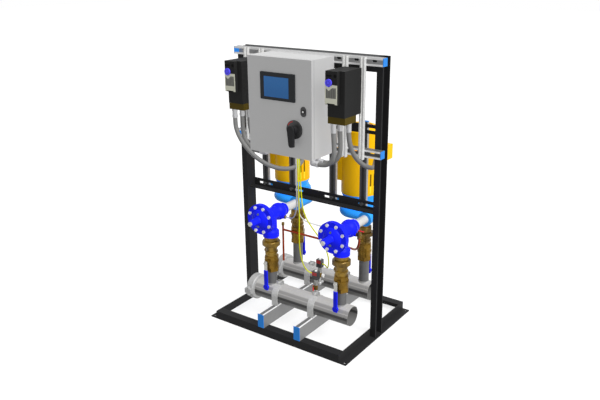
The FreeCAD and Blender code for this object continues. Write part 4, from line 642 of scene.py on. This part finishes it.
def dress_drive(side, left):
    """Keypad frame with its notch, ribs, near-black openings in painted shade and the ring on the dial."""
    right = left + KEYPAD_WIDTH
    notch = left + 0.32 * KEYPAD_WIDTH
    frame_shape = bmesh.new()
    prism(frame_shape, [
        (left, KEYPAD_LOW), (right, KEYPAD_LOW), (right, KEYPAD_HIGH),
        (left + 0.58 * KEYPAD_WIDTH, KEYPAD_HIGH), (notch, KEYPAD_HIGH - 0.013), (left, KEYPAD_HIGH),
    ], KEYPAD_FRONT - 0.0012, KEYPAD_FRONT)
    finish_piece(f"keypad_frame_{side}", "stand", KEYPAD, frame_shape)

    field = bmesh.new()
    prism(field, [
        (left + 0.006, KEYPAD_LOW + 0.029), (right - 0.006, KEYPAD_LOW + 0.03),
        (right - 0.006, KEYPAD_HIGH - 0.013), (left + 0.6 * KEYPAD_WIDTH, KEYPAD_HIGH - 0.014),
        (notch, KEYPAD_HIGH - 0.029), (left + 0.006, KEYPAD_HIGH - 0.018),
    ], KEYPAD_FRONT - 0.0017, KEYPAD_FRONT - 0.0012)
    finish_piece(f"keypad_field_{side}", "stand", RIB_GREY, field)

    ribs = bmesh.new()
    for step in range(KEYPAD_RIBS):
        across = left + 0.0105 + step * RIB_PITCH
        top = KEYPAD_HIGH - (0.03 if abs(across - notch) < 0.008 else 0.02)
        block(ribs, (across - 0.0022, KEYPAD_FRONT - 0.0026, KEYPAD_LOW + 0.031),
              (across + 0.0022, KEYPAD_FRONT - 0.0017, top))
    finish_piece(f"keypad_ribs_{side}", "stand", RIB_DARK, ribs, soften=0.0004)

    # Near-black slots and a round hole: painted shade in the openings.
    openings = bmesh.new()
    block(openings, (left + 0.008, KEYPAD_FRONT - 0.0006, SOCKET_LEVEL - 0.004),
          (left + 0.038, KEYPAD_FRONT, SOCKET_LEVEL + 0.004))
    disc(openings, (left + 0.058, KEYPAD_FRONT, SOCKET_LEVEL), 0.0085, 0.0006, TO_FRONT)
    block(openings, (left + 0.012, KEYPAD_FRONT - 0.0018, KEYPAD_LOW - 0.001),
          (left + 0.058, KEYPAD_FRONT - 0.0002, KEYPAD_LOW + 0.004))
    finish_piece(f"keypad_openings_{side}", "stand", OPENING_SHADE, openings)

    dial = f"drive_dial_{side}"
    middle, _, level = middle_of(dial)
    mark = bmesh.new()
    ring(mark, (middle, low_corner(dial)[1] + 0.0014, level), 0.0075, 0.011, 0.0006, TO_FRONT)
    finish_piece(f"dial_ring_{side}", dial, DIAL_RING, mark)


BULB_RADIUS = 0.0172


def dress_lever(name):
    """The rounded bulb at the end of a ball valve's grip."""
    low = low_corner(name)
    high = high_corner(name)
    grip = [vertex.co for vertex in NODES[name].data.vertices if vertex.co.z < low[2] + 0.02]
    front = min(spot.y for spot in grip)
    back = max(spot.y for spot in grip)
    bulb = bmesh.new()
    disc(bulb, ((low[0] + high[0]) / 2, back + 0.001, low[2] + BULB_RADIUS), BULB_RADIUS,
         back - front + 0.002, TO_FRONT)
    finish_piece(f"{name}_bulb", name, LEVER_BLUE, bulb, soften=0.002)


DIGIT_ROWS = (0.3265, 0.3372)
DIGIT_HEIGHT = 0.0088
DIGIT_REACH = 0.0165
WINDOW_DEPTH = 0.0169
HEAD_TOP = 0.3486


def dress_sensor(name, across, deep):
    """Two rows of red digits in the window of a pressure transducer's head, and its cap screw."""
    rows = bmesh.new()
    for low in DIGIT_ROWS:
        block(rows, (across - DIGIT_REACH, deep - WINDOW_DEPTH - 0.0007, low),
              (across + DIGIT_REACH, deep - WINDOW_DEPTH, low + DIGIT_HEIGHT))
    finish_piece(f"{name}_display", "stand", DISPLAY_RED, rows, soften=0.0003)
    screw = bmesh.new()
    disc(screw, (across, deep, HEAD_TOP), 0.0085, 0.005, UP, sides=6)
    finish_piece(f"{name}_cap_screw", "stand", KNOB_WHITE, screw, soften=0.0005)


HUB_RADIUS, HUB_RISE = 0.021, 0.004
TIP_RADIUS, TIP_DROP = 0.0115, 0.076


def dress_switch():
    """The tapered grip of the disconnect, over its flat CAD lever."""
    across, level = SWITCH_X, SWITCH_LEVEL
    corners = []
    for step in range(13):
        angle = math.radians(180 - 15 * step)
        corners.append((across + HUB_RADIUS * math.cos(angle),
                        level + HUB_RISE + HUB_RADIUS * math.sin(angle)))
    for step in range(9):
        angle = math.radians(-22.5 * step)
        corners.append((across + TIP_RADIUS * math.cos(angle),
                        level - TIP_DROP + TIP_RADIUS * math.sin(angle)))
    grip = bmesh.new()
    front = low_corner("disconnect_handle")[1]
    prism(grip, corners, front - 0.003, front + 0.009)
    finish_piece("disconnect_grip", "disconnect_handle", SWITCH_BLACK, grip, soften=0.0015)


SLOT_FOOT, SLOT_KNEE, SLOT_TOP = 0.802, 0.844, 0.914
SLOT_INSIDE, SLOT_OUTSIDE = 0.1062, 0.1072
SLOT_REACH = 0.0052
SLOT_ANGLES = (-25, -10.5)


def dress_motor(number, across, deep):
    """Upright cooling slots low on the motor's right, in painted shade, with a painted highlight at their
    feet.
    """
    painted_shade = bmesh.new()
    bright = bmesh.new()
    for angle in SLOT_ANGLES:
        turn = Matrix.Translation((across, deep, 0)) @ Matrix.Rotation(math.radians(angle), 4, "Z")
        for shape, low, high in ((painted_shade, SLOT_KNEE, SLOT_TOP), (bright, SLOT_FOOT, SLOT_KNEE)):
            corners = block(shape, (SLOT_INSIDE, -SLOT_REACH, low), (SLOT_OUTSIDE, SLOT_REACH, high))
            bmesh.ops.transform(shape, matrix=turn, verts=corners)
    # The slots carry painted shade, and their feet a painted highlight.
    finish_piece(f"motor_slot_shade_{number}", "stand", VENT_PAINTED_SHADE, painted_shade)
    finish_piece(f"motor_slot_feet_highlight_{number}", "stand", VENT_PAINTED_HIGHLIGHT, bright)


RISER_RADIUS = 0.03015
BEAD_RADIUS, BEAD_RIPPLE = 0.0027, 0.0004


def dress_riser(name, across, deep):
    """The weld bead along the saddle where a riser meets its header."""
    bead = bmesh.new()
    steps = 48
    sides = 8
    loops = []
    for step in range(steps):
        angle = 2 * math.pi * step / steps
        away = RISER_RADIUS * math.sin(angle)
        foot = Vector((across + RISER_RADIUS * math.cos(angle), deep + away,
                       HEADER_LEVEL + math.sqrt(HEADER_RADIUS ** 2 - away ** 2)))
        out = Vector((math.cos(angle), math.sin(angle), 0))
        swell = BEAD_RADIUS + BEAD_RIPPLE * math.sin(step * 2.4)
        loops.append([bead.verts.new(foot + swell * (math.cos(turn) * out + math.sin(turn) * UP))
                      for turn in (2 * math.pi * side / sides for side in range(sides))])
    for one, two in zip(loops, loops[1:] + loops[:1]):
        for side in range(sides):
            after = (side + 1) % sides
            bead.faces.new((one[side], one[after], two[after], two[side]))
    finish_piece(name, "stand", WELD, bead)


PUMP_AXES = ((1, -0.2575), (2, 0.2255))
PUMP_DEPTH = 0.175
DISCHARGE_OFFSET, SUCTION_OFFSET = 0.1055, 0.057

dress_drive("left", left=-0.3646)
dress_drive("right", left=0.2854)
for lever in ("discharge_lever_1", "discharge_lever_2", "suction_lever_1", "suction_lever_2"):
    dress_lever(lever)
dress_sensor("discharge_transducer", across=0.102, deep=-0.093)
dress_sensor("suction_transducer", across=0.026, deep=0.059)
dress_switch()
for number, axis in PUMP_AXES:
    dress_motor(number, axis, PUMP_DEPTH)
    dress_riser(f"discharge_weld_{number}", axis + DISCHARGE_OFFSET, FRONT_HEADER)
    dress_riser(f"suction_weld_{number}", axis + SUCTION_OFFSET, REAR_HEADER)


# Cords: the routes of the CAD, drawn as smooth curves

CONDUIT_SIZE = 0.025
CABLE_SIZE = 0.007
CONDUIT_ROUTES = {
    "right_power_conduit": [
        (0.3104, -0.235, 1.222), (0.3104, -0.235, 1.21), (0.315, -0.236, 1.16), (0.318, -0.238, 1.103),
        (0.297, -0.239, 1.065), (0.261, -0.24, 1.044), (0.223, -0.24, 1.044)],
    "right_signal_conduit": [
        (0.3104, -0.175, 1.222), (0.3104, -0.175, 1.21), (0.315, -0.177, 1.161), (0.317, -0.181, 1.104),
        (0.296, -0.187, 1.065), (0.261, -0.19, 1.044), (0.223, -0.19, 1.044)],
    "right_motor_conduit": [
        (0.3624, -0.175, 1.222), (0.3624, -0.175, 1.21), (0.365, -0.17, 1.163), (0.374, -0.151, 1.107),
        (0.387, -0.117, 1.06), (0.398, -0.071, 1.025), (0.402, -0.016, 1.001), (0.393, 0.038, 0.988),
        (0.373, 0.084, 0.996), (0.3555, 0.124, 1.012), (0.3555, 0.168, 1.012)],
    "left_motor_conduit": [
        (-0.3396, -0.235, 1.222), (-0.3396, -0.235, 1.21), (-0.336, -0.237, 1.165), (-0.304, -0.241, 1.109),
        (-0.261, -0.231, 1.051), (-0.21, -0.207, 0.998), (-0.158, -0.176, 0.962),
        (-0.11, -0.142, 0.943), (-0.072, -0.103, 0.938), (-0.05, -0.058, 0.946),
        (-0.055, -0.004, 0.958), (-0.084, 0.042, 0.976), (-0.112, 0.08, 0.996),
        (-0.1275, 0.123, 1.012), (-0.1275, 0.168, 1.012)],
    "left_power_conduit": [
        (-0.3396, -0.175, 1.222), (-0.3396, -0.175, 1.21), (-0.339, -0.176, 1.16), (-0.328, -0.18, 1.104),
        (-0.292, -0.188, 1.066), (-0.243, -0.2, 1.044), (-0.193, -0.2, 1.044)],
    "left_signal_conduit": [
        (-0.2876, -0.175, 1.222), (-0.2876, -0.175, 1.21), (-0.288, -0.172, 1.165), (-0.284, -0.16, 1.113),
        (-0.266, -0.144, 1.071), (-0.232, -0.13, 1.044), (-0.193, -0.13, 1.044)],
}
CABLE_ROUTES = {
    "discharge_gauge_cable": [
        (0.088, -0.24, 1.058), (0.089, -0.238, 0.986), (0.087, -0.232, 0.905), (0.082, -0.224, 0.826),
        (0.076, -0.213, 0.748), (0.067, -0.202, 0.672), (0.056, -0.19, 0.6), (0.047, -0.176, 0.532),
        (0.041, -0.16, 0.468), (0.039, -0.139, 0.408), (0.038, -0.116, 0.366),
        (0.047, -0.099, 0.338), (0.062, -0.093, 0.33), (0.083, -0.093, 0.33)],
    "suction_gauge_cable": [
        (0.095, -0.234, 1.058), (0.097, -0.233, 0.984), (0.099, -0.229, 0.905), (0.098, -0.222, 0.83),
        (0.097, -0.208, 0.762), (0.101, -0.184, 0.702), (0.115, -0.153, 0.645), (0.135, -0.122, 0.59),
        (0.157, -0.095, 0.532), (0.171, -0.075, 0.47), (0.168, -0.058, 0.412), (0.146, -0.033, 0.362),
        (0.112, 0.008, 0.332), (0.084, 0.042, 0.323), (0.061, 0.059, 0.322), (0.045, 0.059, 0.322)],
    "valve_cable_1": [
        (0.078, -0.238, 1.058), (0.077, -0.236, 0.99), (0.07, -0.227, 0.915), (0.058, -0.211, 0.842),
        (0.04, -0.189, 0.775), (0.016, -0.163, 0.716), (-0.012, -0.141, 0.676),
        (-0.042, -0.122, 0.654), (-0.07, -0.108, 0.645), (-0.098, -0.108, 0.645)],
    "valve_cable_2": [
        (0.0845, -0.231, 1.058), (0.084, -0.229, 0.985), (0.078, -0.222, 0.91), (0.068, -0.21, 0.84),
        (0.055, -0.195, 0.775), (0.05, -0.18, 0.715), (0.072, -0.165, 0.678), (0.11, -0.146, 0.664),
        (0.15, -0.13, 0.654), (0.195, -0.117, 0.648), (0.238, -0.108, 0.645), (0.277, -0.108, 0.645)],
}


def line_length(curve_object):
    """Length of a curve's own centreline."""
    curve = curve_object.data
    thickness = curve.bevel_depth
    curve.bevel_depth = 0
    bpy.context.view_layer.update()
    evaluated = curve_object.evaluated_get(bpy.context.evaluated_depsgraph_get())
    mesh = evaluated.to_mesh()
    length = sum((mesh.vertices[a].co - mesh.vertices[b].co).length for a, b in
                 (edge.vertices for edge in mesh.edges))
    evaluated.to_mesh_clear()
    curve.bevel_depth = thickness
    return length


def cord(node, route, diameter, paint):
    """A smooth cord on a route's points, each with the cord's radius, in place of its CAD node."""
    curve = bpy.data.curves.new(node, "CURVE")
    curve.dimensions = "3D"
    curve.bevel_depth = 1
    curve.bevel_resolution = 6
    curve.resolution_u = 12
    curve.use_fill_caps = True
    spline = curve.splines.new("NURBS")
    spline.points.add(len(route) - 1)
    for point, place in zip(spline.points, route):
        point.co = (*place, 1)
        point.radius = diameter / 2
    spline.order_u = 3
    spline.use_endpoint_u = True
    thing = bpy.data.objects.new(f"{node}_sheath", curve)
    SCENE.collection.objects.link(thing)
    curve.materials.append(paint.material)
    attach(thing, "stand")
    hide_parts(node)
    line_length(thing)


for name, route in CONDUIT_ROUTES.items():
    cord(name, route, CONDUIT_SIZE, CONDUIT)
for name, route in CABLE_ROUTES.items():
    cord(name, route, CABLE_SIZE, CABLE_YELLOW if "gauge" in name else CABLE_WHITE)


# Studio: a pale floor, an even sky and three soft suns, of which one casts shadows

def add_sun(name, toward, energy, angle, casts):
    """A sun that shines from a direction, with or without shadows."""
    data = bpy.data.lights.new(name, "SUN")
    data.energy = energy
    data.angle = math.radians(angle)
    data.use_shadow = casts
    sun = bpy.data.objects.new(name, data)
    SCENE.collection.objects.link(sun)
    sun.rotation_euler = Vector(toward).to_track_quat("Z", "Y").to_euler()
    return sun


SKY_ON_OBJECT = 0.32
SKY_SEEN = 1.0


def light_studio():
    """Floor, lamps and a world that is white to the eye and plain on the object."""
    bpy.ops.mesh.primitive_plane_add(size=60)
    floor = bpy.context.object
    floor.name = "floor"
    paint = Paint("floor")
    soft = paint.noise(3, 3)
    path = paint.node("ShaderNodeLightPath")
    seen = Value(paint, path.outputs["Is Camera Ray"])
    for ray in ("Is Glossy Ray", "Is Transmission Ray"):
        seen = seen.larger(Value(paint, path.outputs[ray]))
    pale = paint.mix((0.95, 0.95, 0.95), (0.97, 0.97, 0.97), soft)
    paint.set(base_color=paint.mix((0.3, 0.3, 0.3), pale, seen), roughness=0.95).gloss(0)
    floor.data.materials.append(paint.material)
    high = (0.68, -0.1, 0.72)
    low = (0.25, -0.93, 0.25)
    lamps = [add_sun("sun", high, energy=0.5, angle=30, casts=True),
             add_sun("high_fill", high, energy=3.4, angle=40, casts=False),
             add_sun("front_fill", low, energy=0.25, angle=40, casts=False)]

    world = bpy.data.worlds.new("studio")
    SCENE.world = world
    world.use_nodes = True
    tree = world.node_tree
    sky = tree.nodes["Background"]
    path = tree.nodes.new("ShaderNodeLightPath")
    strength = tree.nodes.new("ShaderNodeMapRange")
    strength.inputs["To Min"].default_value = SKY_ON_OBJECT
    strength.inputs["To Max"].default_value = SKY_SEEN
    seen = path.outputs["Is Camera Ray"]
    for ray in ("Is Glossy Ray", "Is Transmission Ray"):
        either = tree.nodes.new("ShaderNodeMath")
        either.operation = "MAXIMUM"
        tree.links.new(seen, either.inputs[0])
        tree.links.new(path.outputs[ray], either.inputs[1])
        seen = either.outputs[0]
    tree.links.new(seen, strength.inputs["Value"])
    tree.links.new(strength.outputs["Result"], sky.inputs["Strength"])
    sky.inputs["Color"].default_value = (1, 1, 1, 1)


light_studio()
SCENE.view_settings.view_transform = "Standard"
